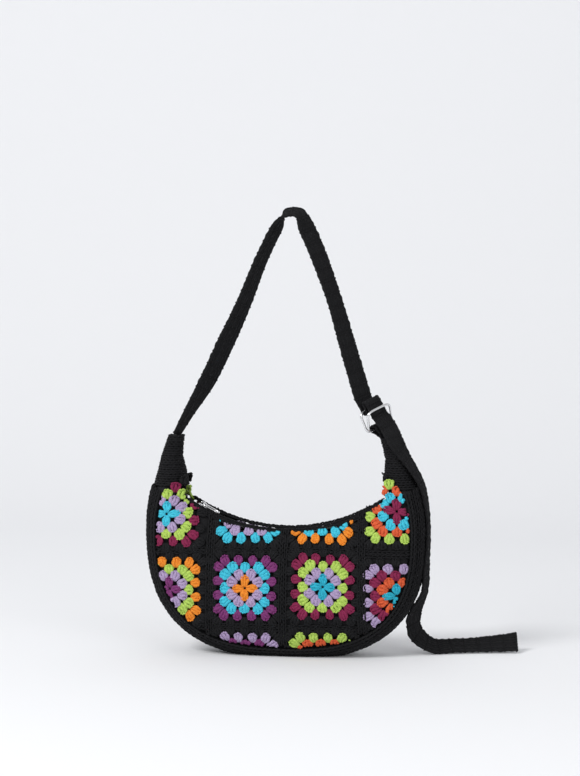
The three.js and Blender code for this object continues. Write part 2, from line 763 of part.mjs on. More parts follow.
function sleeve(side, lean) {
  const sections = [];
  const steps = SLEEVE_RIBS * 2;
  for (let i = 0; i <= steps; i++) {
    const share = i / steps;
    const [, shift, halfWidth, halfDeep] = sleeveRow(share);
    const rib = i % 2 ? SLEEVE_RIB_HEIGHT : 0;
    const ring = [];
    for (let k = 0; k < SLEEVE_SIDES; k++) {
      const angle = (2 * Math.PI * k) / SLEEVE_SIDES;
      const x = side * (SLEEVE_MIDDLE - shift - lean * share) + (halfWidth + rib) * Math.cos(angle);
      const y = (halfDeep + rib) * Math.sin(angle);
      ring.push(new THREE.Vector3(x, y, THREE.MathUtils.lerp(PANEL_TOP + FIT, SLEEVE_TOP, share)));
    }
    sections.push(ring);
  }
  return loft(sections);
}
const RIGHT_LEAN = 9;
place("sleeve_left", sleeve(-1, 0), COLOURS.black);
place("sleeve_right", sleeve(1, RIGHT_LEAN), COLOURS.black);

// A flat band through stations of a middle point, a width direction and a width
function band(places) {
  const sections = places.map(({ at, across, width, along: given }, i) => {
    const before = places[Math.max(0, i - 1)].at;
    const after = places[Math.min(places.length - 1, i + 1)].at;
    const along = given ?? after.clone().sub(before).normalize();
    const side = across.clone().addScaledVector(along, -across.dot(along)).normalize();
    const face = along.clone().cross(side);
    const h = STRAP_THICKNESS / 2;
    const w = width / 2;
    const corners = [[-w, -h], [w, -h], [w, h], [-w, h]];
    return corners.map(([u, v]) => {
      const corner = at.clone().addScaledVector(side, u).addScaledVector(face, v);
      return corner.setZ(Math.max(corner.z, GROUND));
    });
  });
  return loft(sections);
}

// Evenly spaced stations along hand placed ones, with the scalloped edge of the crochet
function alongBand(places) {
  const curve = new THREE.CatmullRomCurve3(places.map((p) => p.at), false, "centripetal");
  const length = curve.getLength();
  const steps = 2 * Math.round(length / SCALLOP_PITCH);
  const marks = places.map((p, i) => i / (places.length - 1));
  const result = [];
  for (let i = 0; i <= steps; i++) {
    const t = curve.getUtoTmapping(i / steps);
    const k = Math.min(places.length - 2, Math.floor(t * (places.length - 1)));
    const local = (t - marks[k]) * (places.length - 1);
    const from = places[k].across.clone().normalize();
    const across = from.lerp(places[k + 1].across.clone().normalize(), local);
    const width = THREE.MathUtils.lerp(places[k].width, places[k + 1].width, local);
    result.push({ at: curve.getPoint(t), across, width: width - (i % 2 ? 2 * SCALLOP_DEPTH : 0) });
  }
  return result;
}

// Frame at the rings: along the strap downwards, across it, and out of its front face
const RING_DOWN = V(0.45, 0, -0.893).normalize();
const RING_TURN = THREE.MathUtils.degToRad(42); // the rings are turned about the strap's line
const RING_ACROSS = V(-RING_DOWN.z, 0, RING_DOWN.x).applyAxisAngle(RING_DOWN, -RING_TURN);
const RING_FRONT = V(0, -1, 0).applyAxisAngle(RING_DOWN, -RING_TURN);
const atRings = (down, front, across = 0) =>
  RING_POINT.clone()
    .addScaledVector(RING_DOWN, down)
    .addScaledVector(RING_ACROSS, across)
    .addScaledVector(RING_FRONT, front);

const WIRE = RING_WIRE / 2;
const HALF_STRAP = STRAP_THICKNESS / 2;
const BAR_SPREAD = WIRE + 0.4; // the two bars lie side by side in the tab
const BAR_DOWN = 18;
const WRAP = WIRE + RING_PLAY + HALF_STRAP; // radius of the strap round the first ring
const UPPER_RING_DOWN = BAR_DOWN - Math.sqrt(RING_LENGTH ** 2 - BAR_SPREAD ** 2);
const FOLD_DOWN = UPPER_RING_DOWN - 6;
const FOLD_RADIUS = HALF_STRAP + 1.1;
const TAIL_FRONT = WRAP + 2 * FOLD_RADIUS;
const LOWER_RING_FRONT = TAIL_FRONT + HALF_STRAP + RING_PLAY + WIRE;
const STRAP_IN_RING = 22;

const sleeveTopLeft = V(-(SLEEVE_MIDDLE - 5.4), 0, SLEEVE_TOP + FIT);
const sleeveTopRight = V(SLEEVE_MIDDLE - 5.4 - RIGHT_LEAN, 0, SLEEVE_TOP + FIT);

function strapStations() {
  const start = sleeveTopLeft;
  const top = STRAP_APEX;
  const up = V(top.x - APEX_RADIUS - start.x, 0, top.z - APEX_RADIUS - start.z);
  const onLeft = (share, bow) =>
    start.clone().addScaledVector(up, share).add(V(bow, 0, -bow * 0.5));
  const ringEnd = atRings(UPPER_RING_DOWN - 14, -WRAP);
  const fall = V(ringEnd.x - top.x - APEX_RADIUS, ringEnd.y, ringEnd.z - top.z + APEX_RADIUS);
  const onRight = (share, bow) =>
    V(top.x + APEX_RADIUS, 0, top.z - APEX_RADIUS).addScaledVector(fall, share).add(V(bow, 0, bow * 0.4));
  const leg = [
    { at: start, across: V(0.5, 0.85, 0.2), width: 16 },
    { at: onLeft(0.1, 0.8), across: V(0.6, 0.8, 0.3), width: 21 },
    { at: onLeft(0.26, 3), across: V(0.6, 0.8, -0.3), width: STRAP_WIDTH },
    { at: onLeft(0.45, 2), across: V(0.62, 0.72, -0.3), width: STRAP_WIDTH },
    { at: onLeft(0.62, 0.5), across: V(0.5, 0.85, -0.25), width: STRAP_WIDTH },
    { at: onLeft(0.82, -3.5), across: V(0.38, 0.92, -0.2), width: STRAP_WIDTH },
    { at: onLeft(0.97, -4), across: V(0.35, 0.93, -0.2), width: STRAP_WIDTH },
    { at: top.clone().add(V(-9, 0, -1)), across: V(-0.1, 0.93, 0.36), width: STRAP_WIDTH },
    { at: top.clone().add(V(5, 0, -1)), across: V(0.1, 0.93, 0.36), width: STRAP_WIDTH },
    { at: onRight(0.03, 0), across: V(0.6, 0.76, 0.25), width: STRAP_WIDTH },
    { at: onRight(0.2, 2.5), across: V(0.6, 0.78, 0.2), width: STRAP_WIDTH },
    { at: onRight(0.45, 3.5), across: V(0.52, 0.84, 0.15), width: STRAP_WIDTH },
    { at: onRight(0.75, 1.5), across: V(0.6, 0.76, 0.25), width: STRAP_WIDTH },
    { at: onRight(1, 0), across: RING_ACROSS, width: 24 },
  ];
  const inRing = [];
  const add = (down, front) =>
    inRing.push({ at: atRings(down, front), across: RING_ACROSS, width: STRAP_IN_RING });
  add(UPPER_RING_DOWN - 5, -WRAP);
  for (let k = 0; k <= 6; k++) {
    const angle = (Math.PI * k) / 6;
    add(UPPER_RING_DOWN + WRAP * Math.sin(angle), -WRAP * Math.cos(angle));
  }
  for (let k = 0; k <= 5; k++) {
    const angle = (Math.PI * k) / 5;
    add(FOLD_DOWN - FOLD_RADIUS * Math.sin(angle), WRAP + FOLD_RADIUS * (1 - Math.cos(angle)));
  }
  const offRim = (height, out) => {
    const s = (height - WIDEST_HEIGHT) / (height > WIDEST_HEIGHT ? SHOULDER_RISE : BELLY_DROP);
    const power = height > WIDEST_HEIGHT ? 2 : BELLY_POWER;
    return BODY_HALF_WIDTH * (1 - Math.abs(s) ** power) ** (1 / power) + CROCHET + FIT + HALF_STRAP + out;
  };
  const onFloor = (share, back, lean, width = STRAP_WIDTH) => {
    const angle = THREE.MathUtils.degToRad(lean);
    const lift = (width / 2) * Math.sin(angle) + HALF_STRAP * Math.cos(angle) + 0.5;
    const x = THREE.MathUtils.lerp(offRim(95, 0), TAIL_REACH, share);
    return { at: V(x, back, GROUND + lift), across: V(0, Math.cos(angle), Math.sin(angle)), width };
  };
  const tail = [
    { at: atRings(6, TAIL_FRONT), across: RING_ACROSS, width: STRAP_IN_RING },
    { at: atRings(22, TAIL_FRONT + 2, 2), across: RING_ACROSS, width: 23 },
    { at: V(sleeveTopRight.x + 10, -12, SLEEVE_TOP - 4), across: V(0.6, 0.75, 0.2), width: 23 },
    { at: V(sleeveTopRight.x + 19.5, -8, SLEEVE_TOP - 20), across: V(0.3, 0.93, 0.1), width: 24 },
    { at: V(offRim(180, 1.5), -3, 180), across: V(0.1, 1, 0), width: STRAP_WIDTH },
    { at: V(offRim(150, 0.3), 0, 150), across: V(0, 1, 0), width: STRAP_WIDTH },
    { at: V(offRim(120, 0.3), 0, 120), across: V(0, 1, 0), width: STRAP_WIDTH },
    { at: V(offRim(95, 0.4), 1, 95), across: V(0.1, 1, 0), width: STRAP_WIDTH },
    { at: V(offRim(95, -2), 4, 68), across: V(0.15, 1, 0), width: STRAP_WIDTH },
    { at: V(offRim(95, -13), 8, 42), across: V(0.55, 0.8, 0.1), width: STRAP_WIDTH },
    { at: V(offRim(95, -12), 15, 23), across: V(0.4, 0.75, 0.5), width: STRAP_WIDTH },
    onFloor(0.06, 24, 30),
    onFloor(0.28, 32, 26),
    onFloor(0.5, 37, 28),
    onFloor(0.75, 41, 36),
    onFloor(1, 43, 48, STRAP_WIDTH + 1),
  ];
  const wholeLeg = alongBand(leg);
  wholeLeg[0].along = V(0, 0, 1);
  return [...wholeLeg, ...inRing, ...alongBand(tail)];
}
place("strap", band(strapStations()), COLOURS.black);

// The tab: a short band from the right sleeve, up round both ring bars and back down
function tabStations() {
  const half = BAR_SPREAD + WIRE + FIT + 0.2 + HALF_STRAP;
  const foot = sleeveTopRight;
  const places = [];
  const steps = 5;
  const leg = (front) => {
    const bend = atRings(BAR_DOWN, front);
    const end = V(foot.x, -Math.sign(front) * (HALF_STRAP + FIT / 2), foot.z);
    return [
      { at: bend, across: RING_ACROSS, width: STRAP_IN_RING },
      { at: bend.clone().lerp(end, 0.3), across: RING_ACROSS, width: 18 },
      { at: bend.clone().lerp(end, 0.65), across: RING_ACROSS.clone().add(V(1, 0, 0)), width: 15 },
      { at: end, across: V(1, 0, 0), width: 15, along: V(0, 0, Math.sign(front)) },
    ];
  };
  places.push(...leg(half).reverse());
  for (let k = 1; k < steps; k++) {
    const angle = (Math.PI * k) / steps;
    const at = atRings(BAR_DOWN - (WIRE + FIT + HALF_STRAP) * Math.sin(angle), half * Math.cos(angle));
    places.push({ at, across: RING_ACROSS, width: STRAP_IN_RING });
  }
  places.push(...leg(-half));
  return places;
}
place("ring_tab", band(tabStations()), COLOURS.black);

// A wire ring with a straight bar and a flattened arc, from its bar to the top of its arc
function ring(barFront, arcDown, arcFront) {
  const bar = atRings(BAR_DOWN, barFront);
  const rise = atRings(arcDown, arcFront).sub(bar);
  const length = rise.length();
  rise.normalize();
  const half = RING_WIDTH / 2;
  const points = [];
  const corner = 2.5;
  const straight = length * 0.4;
  points.push([-half + corner, 0], [0, 0], [half - corner, 0], [half, corner], [half, straight]);
  for (let k = 1; k < 8; k++) {
    const angle = (Math.PI * k) / 8;
    const flat = 0.4;
    const u = half * Math.sign(Math.cos(angle)) * Math.abs(Math.cos(angle)) ** flat;
    const v = straight + (length - straight) * Math.sin(angle) ** flat;
    points.push([u, v]);
  }
  points.push([-half, straight], [-half, corner]);
  const places = points.map(([u, v]) => bar.clone().addScaledVector(RING_ACROSS, u).addScaledVector(rise, v));
  return wireLoop(places, RING_WIRE);
}
const lowerReach = Math.sqrt(RING_LENGTH ** 2 - (LOWER_RING_FRONT - BAR_SPREAD) ** 2);
place("ring_upper", ring(-BAR_SPREAD, UPPER_RING_DOWN, 0), 0xd6d6d8, 0.18, 1);
place("ring_lower", ring(BAR_SPREAD, BAR_DOWN - lowerReach, LOWER_RING_FRONT), 0xd6d6d8, 0.18, 1);

export default group;
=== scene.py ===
import math

import bpy
import numpy as np
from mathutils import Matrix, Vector


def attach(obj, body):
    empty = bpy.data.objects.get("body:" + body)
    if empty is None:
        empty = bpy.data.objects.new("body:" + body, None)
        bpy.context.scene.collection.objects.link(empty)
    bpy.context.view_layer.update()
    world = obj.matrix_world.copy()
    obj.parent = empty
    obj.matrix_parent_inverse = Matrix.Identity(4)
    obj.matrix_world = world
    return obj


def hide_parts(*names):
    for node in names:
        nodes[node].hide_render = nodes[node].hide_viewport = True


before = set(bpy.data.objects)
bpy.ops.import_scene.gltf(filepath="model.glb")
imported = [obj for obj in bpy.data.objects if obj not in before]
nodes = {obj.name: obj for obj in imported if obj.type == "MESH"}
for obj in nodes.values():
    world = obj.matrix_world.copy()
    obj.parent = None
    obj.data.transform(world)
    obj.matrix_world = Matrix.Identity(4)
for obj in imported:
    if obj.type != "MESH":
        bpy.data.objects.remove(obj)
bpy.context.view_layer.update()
chance = np.random.default_rng(7)

# The body's outline, mouth, depth and seams, in millimetres, as in the frame
HALF_WIDTH, WIDEST, BELLY_DROP, SHOULDER_RISE, BELLY_POWER = 144, 133, 134, 142, 2.6
PANEL_TOP, MOUTH_RADIUS, MOUTH_HALF_WIDTH, MOUTH_CENTRE = 176, 185, 103, 316.5
HALF_DEPTH, DEPTH_REACH, DEPTH_SWELL, MOUTH_GAP, DEEPEST, SIDE_POWER = 31, 52, 1.1, 11.5, 0.45, 2.6
SEAM_INSET, CROCHET = 12, 3
COLUMN_SEAMS, ROW_SEAMS = (-75, 1.5, 83.5), (32.5, 110.5)
OUTLINE_STEPS = 160

# The granny squares: middle across and up, and the yarn of each round from the star outwards
SQUARES = {
    "top_1": (-121.5, 147.5, ["cyan", "lavender", "lime", "raspberry"]),
    "top_2": (-37, 150.5, [None, None, "lavender", "cyan"]),
    "top_3": (41.5, 151, [None, None, "cyan", "orange"]),
    "top_4": (119.5, 154.5, ["raspberry", "cyan", "coral", "lime"]),
    "middle_1": (-117.5, 70, ["purple", "lavender", "lime", "orange"]),
    "middle_2": (-38, 72.5, ["orange", "lavender", "cyan", "purple"]),
    # middle_3 and middle_4 start with the cyan yarn painted darker, a painted shade on their centres
    "middle_3": (43.5, 75.5, ["teal", "lavender", "lime", "raspberry"]),
    "middle_4": (118.5, 68, ["teal", "coral", "raspberry", "lavender"]),
    "bottom_2": (-38, -6.5, [None, None, "purple", "lavender"]),
    "bottom_3": (41, -4.5, [None, None, "coral", "lime"]),
}


# Vectors, lengths and new objects
def unit(v):
    return v / np.maximum(np.linalg.norm(v, axis=-1, keepdims=True), 1e-9)


def lengths_along(line):
    """Lengths from the start of a line (n, 3) to each of its points."""
    return np.concatenate([[0], np.cumsum(np.linalg.norm(np.diff(line, axis=0), axis=1))])


def linked(name, data):
    made = bpy.data.objects.new(name, data)
    bpy.context.scene.collection.objects.link(made)
    return made


# Surface of the body
def outline_point(turn):
    """A point (x, z) of the outline, from the left horn (-1) under the belly to the right one (1)."""
    horn = math.asin((PANEL_TOP - WIDEST) / SHOULDER_RISE)
    angle = turn * (math.pi / 2 + horn) - math.pi / 2
    c, s = math.cos(angle), math.sin(angle)
    if s > 0:
        return HALF_WIDTH * c, WIDEST + SHOULDER_RISE * s
    power = 2 / BELLY_POWER
    return math.copysign(HALF_WIDTH * abs(c) ** power, c), WIDEST - BELLY_DROP * abs(s) ** power


def horn_point(side, height):
    """A point of the outline carried on above the panels."""
    s = min(1, (height - WIDEST) / SHOULDER_RISE)
    return side * HALF_WIDTH * math.sqrt(1 - s * s), height


ABOVE_HORN = 60
outline = np.array([outline_point(2 * i / OUTLINE_STEPS - 1) for i in range(OUTLINE_STEPS + 1)])
above = PANEL_TOP + ABOVE_HORN
measured = np.vstack([[horn_point(-1, above)], outline, [horn_point(1, above)]])


def to_outline(x, z):
    """Distance from the outline."""
    point = np.stack([x, z], -1)
    best = np.full(x.shape, 1e9)
    for a, b in zip(measured[:-1], measured[1:]):
        along = b - a
        t = np.clip(((point - a) @ along) / (along @ along), 0, 1)
        best = np.minimum(best, np.linalg.norm(point - a - t[..., None] * along, axis=-1))
    return best


def to_mouth(x, z):
    """Distance from the mouth, 0 inside it."""
    below = np.maximum(0, np.hypot(x, z - MOUTH_CENTRE) - MOUTH_RADIUS)
    return np.hypot(below, np.maximum(0, np.abs(x) - MOUTH_HALF_WIDTH))


def half_depth(share, width):
    """Half the body's depth at a share of the way from the outline to the mouth, width apart."""
    swell = DEPTH_SWELL * (1 - np.exp(-width / DEPTH_REACH))
    most = MOUTH_GAP + (HALF_DEPTH - MOUTH_GAP) * swell
    left = np.clip(1 - share / DEEPEST, 0, 1)
    side = most * (1 - left**SIDE_POWER) ** (1 / SIDE_POWER)
    over = np.clip((share - DEEPEST) / (1 - DEEPEST), 0, 1)
    return np.where(share < DEEPEST, side, most - (most - MOUTH_GAP) * over**2)


# Depth and distances on a grid with one millimetre cells, read between its corners
GRID_X, GRID_Z = np.arange(-152, 153.0), np.arange(-6, 190.0)
grid_x, grid_z = np.meshgrid(GRID_X, GRID_Z, indexing="ij")
inside = np.zeros(grid_x.shape, bool)
for (x0, z0), (x1, z1) in zip(measured, np.roll(measured, -1, axis=0)):
    crosses = (z0 > grid_z) != (z1 > grid_z)
    inside ^= crosses & (grid_x < x0 + (grid_z - z0) * (x1 - x0) / (z1 - z0 + 1e-12))
rim_grid = to_outline(grid_x, grid_z)
over_arc = np.hypot(grid_x, grid_z - MOUTH_CENTRE) - MOUTH_RADIUS
over_mouth = np.maximum(over_arc, np.abs(grid_x) - MOUTH_HALF_WIDTH)
mouth_grid = to_mouth(grid_x, grid_z) + np.minimum(0, over_mouth)
width_grid = rim_grid + np.maximum(0, mouth_grid)
depth_grid = half_depth(rim_grid / np.maximum(width_grid, 1e-6), width_grid)
slope_x, slope_z = np.gradient(depth_grid)
rim_grid = np.where(inside, rim_grid, -rim_grid)


def read(grid, x, z):
    """Values of a grid between its corners."""
    i = np.clip(x - GRID_X[0], 0, len(GRID_X) - 1.001)
    j = np.clip(z - GRID_Z[0], 0, len(GRID_Z) - 1.001)
    a, b = i.astype(int), j.astype(int)
    i, j = i - a, j - b
    near = grid[a, b] * (1 - j) + grid[a, b + 1] * j
    return near * (1 - i) + (grid[a + 1, b] * (1 - j) + grid[a + 1, b + 1] * j) * i


STEEPEST = 1.6


def on_panel(x, z, lift, side):
    """Points and normals on the front (side -1) or back (side 1), lift above its inner face."""
    sx = np.clip(read(slope_x, x, z), -STEEPEST, STEEPEST)
    sz = np.clip(read(slope_z, x, z), -STEEPEST, STEEPEST)
    out = unit(np.stack([-sx, np.full(x.shape, side * 1.0), -sz], -1))
    at = np.stack([x, side * read(depth_grid, x, z), z], -1)
    return at + out * np.asarray(lift)[..., None], out


def room_on_panel(x, z):
    """Distance inside the panel: to the seam with the edge band and to the mouth."""
    return np.minimum(read(rim_grid, x, z) - SEAM_INSET, read(mouth_grid, x, z))


# Meshes out of many strands at once
OFF_FLOOR = 0.0003


class Work:
    """Closed strands and cloth gathered into one mesh, in millimetres."""

    def __init__(self):
        self.points, self.loops, self.sizes, self.count = [], [], [], 0

    def add(self, points, *face_sets):
        """Points, and arrays of faces that count from the first of them."""
        for faces in face_sets:
            self.loops.append((faces + self.count).ravel())
            self.sizes.append(np.full(len(faces), faces.shape[1]))
        self.points.append(points)
        self.count += len(points)

    def strands(self, paths, outs, radii, sides=8, ply=0.16, turns=2.0, flat=1.0, closed=False):
        """Tubes along paths (n, p, 3); outs are directions away from the cloth, radii (n, p).

        ply is how deep the twist of the yarn is and turns how often it goes round.
        """
        n, p, _ = paths.shape
        if n == 0:
            return
        if closed:
            tangent = np.roll(paths, -1, axis=1) - np.roll(paths, 1, axis=1)
        else:
            tangent = np.gradient(paths, axis=1)
        tangent = unit(tangent)
        across = unit(np.cross(tangent, outs))
        up = np.cross(across, tangent)
        angle = np.arange(sides) * 2 * math.pi / sides
        phase = np.linspace(0, turns * 2 * math.pi, p)[None, :] + chance.uniform(0, 6, (n, 1))
        radii = np.broadcast_to(radii, (n, p))
        r = radii[..., None] * (1 + ply * np.cos(2 * angle - phase[..., None]))
        ring = across[:, :, None] * (r * np.cos(angle))[..., None]
        ring = ring + up[:, :, None] * (flat * r * np.sin(angle))[..., None]
        points = (paths[:, :, None] + ring).reshape(-1, 3)
        start = np.arange(n)[:, None, None] * p * sides
        i = np.arange(p if closed else p - 1)[:, None]
        j = np.arange(sides)[None, :]
        k, after = (i + 1) % p, (j + 1) % sides
        quad = np.stack([i * sides + j, k * sides + j, k * sides + after, i * sides + after], -1)
        quads = (start[..., None] + quad).reshape(-1, 4)
        if closed:
            self.add(points, quads)
            return
        first = start[:, 0] + np.arange(sides)
        last = start[:, 0] + (p - 1) * sides + np.arange(sides)[::-1]
        self.add(points, quads, first, last)

    def shell(self, top, bottom, mask):
        """A closed sheet between two grids of points (a, b, 3), for the cells of mask."""
        a, b, _ = top.shape
        mask = mask.copy()
        # Cells that meet at a corner only would share an edge between four walls: they are joined
        for _ in range(4):
            both = mask[1:, 1:] & mask[:-1, :-1] & ~mask[1:, :-1] & ~mask[:-1, 1:]
            other = ~mask[1:, 1:] & ~mask[:-1, :-1] & mask[1:, :-1] & mask[:-1, 1:]
            mask[1:, :-1] |= both
            mask[1:, 1:] |= other
        index = np.arange(a * b).reshape(a, b)
        c00, c10, c11, c01 = index[:-1, :-1], index[1:, :-1], index[1:, 1:], index[:-1, 1:]
        upper = np.stack([c00, c10, c11, c01], -1)[mask]
        lower = np.stack([c01, c11, c10, c00], -1)[mask] + a * b
        padded = np.pad(mask, 1)
        walls = []
        sides = (
            (padded[1:-1, :-2], c00, c10),
            (padded[2:, 1:-1], c10, c11),
            (padded[1:-1, 2:], c11, c01),
            (padded[:-2, 1:-1], c01, c00),
        )
        for neighbour, one, two in sides:
            edge = mask & ~neighbour
            walls.append(np.stack([two[edge], one[edge], one[edge] + a * b, two[edge] + a * b], -1))
        faces = np.concatenate([upper, lower, *walls])
        used, faces = np.unique(faces, return_inverse=True)
        both = np.concatenate([top.reshape(-1, 3), bottom.reshape(-1, 3)])
        self.add(both[used], faces.reshape(-1, 4))

    def tube(self, rings, ends):
        """A closed solid through rings of points (a, b, 3), with a fan at both ends."""
        a, b, _ = rings.shape
        i, j = np.arange(a - 1)[:, None], np.arange(b)[None]
        after = (j + 1) % b
        quads = np.stack([i * b + j, i * b + after, (i + 1) * b + after, (i + 1) * b + j], -1)
        j, after = np.arange(b), (np.arange(b) + 1) % b
        low, high = a * b, a * b + 1
        first = np.stack([np.full(b, low), after, j], -1)
        last = np.stack([np.full(b, high), (a - 1) * b + j, (a - 1) * b + after], -1)
        points = np.concatenate([rings.reshape(-1, 3), *[np.reshape(end, (1, 3)) for end in ends]])
        self.add(points, quads.reshape(-1, 4), first, last)

    def place(self, name, body, paint, replaced, slot):
        """The mesh as a piece on a body, in place of CAD nodes, with its material; the slot argument is not
        used.
        """
        points = np.concatenate(self.points) / 1000
        points[:, 2] = np.maximum(points[:, 2], OFF_FLOOR)
        loops, sizes = np.concatenate(self.loops), np.concatenate(self.sizes)
        mesh = bpy.data.meshes.new(name)
        mesh.vertices.add(len(points))
        mesh.vertices.foreach_set("co", points.ravel())
        mesh.loops.add(len(loops))
        mesh.loops.foreach_set("vertex_index", loops)
        mesh.polygons.add(len(sizes))
        mesh.polygons.foreach_set("loop_start", np.cumsum(sizes) - sizes)
        mesh.polygons.foreach_set("use_smooth", np.full(len(sizes), True))
        mesh.update(calc_edges=True)
        mesh.validate()
        mesh.materials.append(paint)
        made = linked(name, mesh)
        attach(made, body)
        if replaced:
            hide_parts(*replaced)

    def place_black(self, name, node):
        self.place(name, "bag", yarn["black"], [node], "yarn_black")


# Materials
def paint(name, colour, rough, metal=0.0, shine=0.5, fibre=None, bump=0.0, scale=900.0):
    """A plain or fibrous surface; fibre is how far the colour wanders, bump is in metres."""
    made = bpy.data.materials.new(name)
    made.use_nodes = True
    tree = made.node_tree
    shader = next(n for n in tree.nodes if n.type == "BSDF_PRINCIPLED")
    plain = {"Base Color": (*colour, 1), "Roughness": rough, "Metallic": metal, "Specular IOR Level": shine}
    for key, value in plain.items():
        shader.inputs[key].default_value = value
    place = tree.nodes.new("ShaderNodeTexCoord")
    noise = tree.nodes.new("ShaderNodeTexNoise")
    noise.inputs["Scale"].default_value = scale
    noise.inputs["Detail"].default_value = 3
    tree.links.new(place.outputs["Object"], noise.inputs["Vector"])
    if fibre:
        ramp = tree.nodes.new("ShaderNodeValToRGB")
        ramp.color_ramp.elements[0].position, ramp.color_ramp.elements[1].position = 0.3, 0.7
        ramp.color_ramp.elements[0].color = (*[c * (1 - fibre) for c in colour], 1)
        ramp.color_ramp.elements[1].color = (*[min(1, c * (1 + fibre)) for c in colour], 1)
        tree.links.new(noise.outputs["Fac"], ramp.inputs["Fac"])
        tree.links.new(ramp.outputs["Color"], shader.inputs["Base Color"])
    if bump:
        rise = tree.nodes.new("ShaderNodeBump")
        rise.inputs["Distance"].default_value = bump
        rise.inputs["Strength"].default_value = 1
        tree.links.new(noise.outputs["Fac"], rise.inputs["Height"])
        tree.links.new(rise.outputs["Normal"], shader.inputs["Normal"])
    return made


def written(code):
    """A colour written as on a screen, as linear light."""
    parts = [int(code[i : i + 2], 16) / 255 for i in (0, 2, 4)]
    return [((c + 0.055) / 1.055) ** 2.4 if c > 0.04 else c / 12.92 for c in parts]


YARNS = {
    "black": "131315",
    "cyan": "3fb6cd",
    # This darker cyan is the cyan yarn with painted shade, not a yarn of its own
    "teal": "2ba3bb",
    "lavender": "a592b5",
    "lime": "a7c45a",
    "raspberry": "7c2246",
    "orange": "e8842a",
    "coral": "cc5834",
    "purple": "743369",
}
yarn = {
    name: paint("yarn_" + name, written(code), 0.8, shine=0.2, fibre=0.42, bump=0.0004, scale=1400)
    for name, code in YARNS.items()
}


# Stitches on the panels
def turned(u, v, quarter):
    """Flat points turned by quarter turns about a square's middle."""
    c, s = [(1, 0), (0, 1), (-1, 0), (0, -1)][quarter]
    return u * c - v * s, u * s + v * c


# Width of the black border along the mouth, widest over the column seams
BORDER_AT, BORDER_WIDTH = [0, 38, 52, 61, 78, 90, 102], [2.4, 2.4, 3.2, 4.5, 4.5, 3.0, 2.6]
BLACK_BORDER = 2.0
CUT_STEPS, SHORTEST = 24, 5


def kept(paths, margin, black=False):
    """Cuts flat paths (n, p, 2) to their part that is inside the panel; drops what is too short."""
    p = paths.shape[1]
    at = np.linspace(0, 1, CUT_STEPS + 1) * (p - 1)
    i = np.minimum(at.astype(int), p - 2)
    f = (at - i)[None, :, None]
    fine = paths[:, i] * (1 - f) + paths[:, i + 1] * f
    inside = room_on_panel(fine[..., 0], fine[..., 1]) > margin
    border = BLACK_BORDER if black else np.interp(np.abs(fine[..., 0]), BORDER_AT, BORDER_WIDTH)
    inside &= read(mouth_grid, fine[..., 0], fine[..., 1]) > border
    first = np.argmax(inside, axis=1)
    last = CUT_STEPS - np.argmax(inside[:, ::-1], axis=1)
    whole = inside.any(axis=1) & (last - first >= SHORTEST)
    paths, first, last = paths[whole], first[whole] / CUT_STEPS, last[whole] / CUT_STEPS
    at = (first[:, None] + (last - first)[:, None] * np.linspace(0, 1, p)) * (p - 1)
    i = np.minimum(at.astype(int), p - 2)
    f = (at - i)[..., None]
    row = np.arange(len(paths))[:, None]
    return paths[row, i] * (1 - f) + paths[row, i + 1] * f


# Each round of a square: where its clusters head and root along a side, how far from the middle
# they start and end, and half their width; the last round is the black border
LAYOUT = [
    ([0], [0], 1.2, 13.2, 4.4),
    ([-7.4, 7.4], [-4.9, 4.9], 8.2, 18.9, 5.4),
    ([-15.6, 0, 15.6], [-11.4, 0, 11.4], 15.4, 25.8, 5.5),
    ([-23.6, -8, 8, 23.6], [-18.4, -7, 7, 18.4], 22.4, 33.0, 4.9),
    ([-31, -15.6, 0, 15.6, 31], [-26, -15, 0, 15, 26], 29.8, 39.4, 4.9),
]
BLACK_LEVEL = 4
POST, LOOP = np.linspace(0, 1, 10), np.linspace(-0.5, 0.5, 7)
POST_SPREAD = 0.62 * np.interp(POST, [0, 0.25, 0.6, 0.85, 1], [0.3, 0.72, 1, 0.94, 0.72])


def clusters(level):
    """Flat posts and head loops of one round, as paths about the square's middle."""
    heads, roots, inner, outer, half = LAYOUT[level]
    posts, loops = [], []
    for quarter in range(4):
        for head, root in zip(heads, roots):
            head, root = head + chance.normal(0, 0.35), root + chance.normal(0, 0.25)
            out = outer + chance.normal(0, 0.35)
            axis = np.array([head - root, out - inner])
            length = np.linalg.norm(axis)
            axis /= length
            beside = np.array([axis[1], -axis[0]])
            girth = half * (1 + chance.normal(0, 0.05))
            spread = girth * POST_SPREAD
            for j in (-1, 0, 1):
                reach = length * (1 - 0.1 * abs(j)) + chance.normal(0, 0.2)
                middle = np.outer(POST * reach, axis) + [root, inner]
                bow = j * spread + 0.22 * np.sin(POST * 7 + chance.uniform(0, 6))
                path = middle + bow[:, None] * beside
                posts.append(np.stack(turned(path[:, 0], path[:, 1], quarter), -1))
            for j in (-1.3, -0.45, 0.45, 1.3):
                along = (j + LOOP * 1.35) * girth * 0.62 * 0.72
                rise = length * (0.9 - 0.07 * j * j) + 0.7 * np.cos(LOOP * 5.2) + chance.normal(0, 0.15)
                path = [root, inner] + np.outer(rise, axis) + np.outer(along, beside)
                loops.append(np.stack(turned(path[:, 0], path[:, 1], quarter), -1))
    return np.array(posts), np.array(loops), half


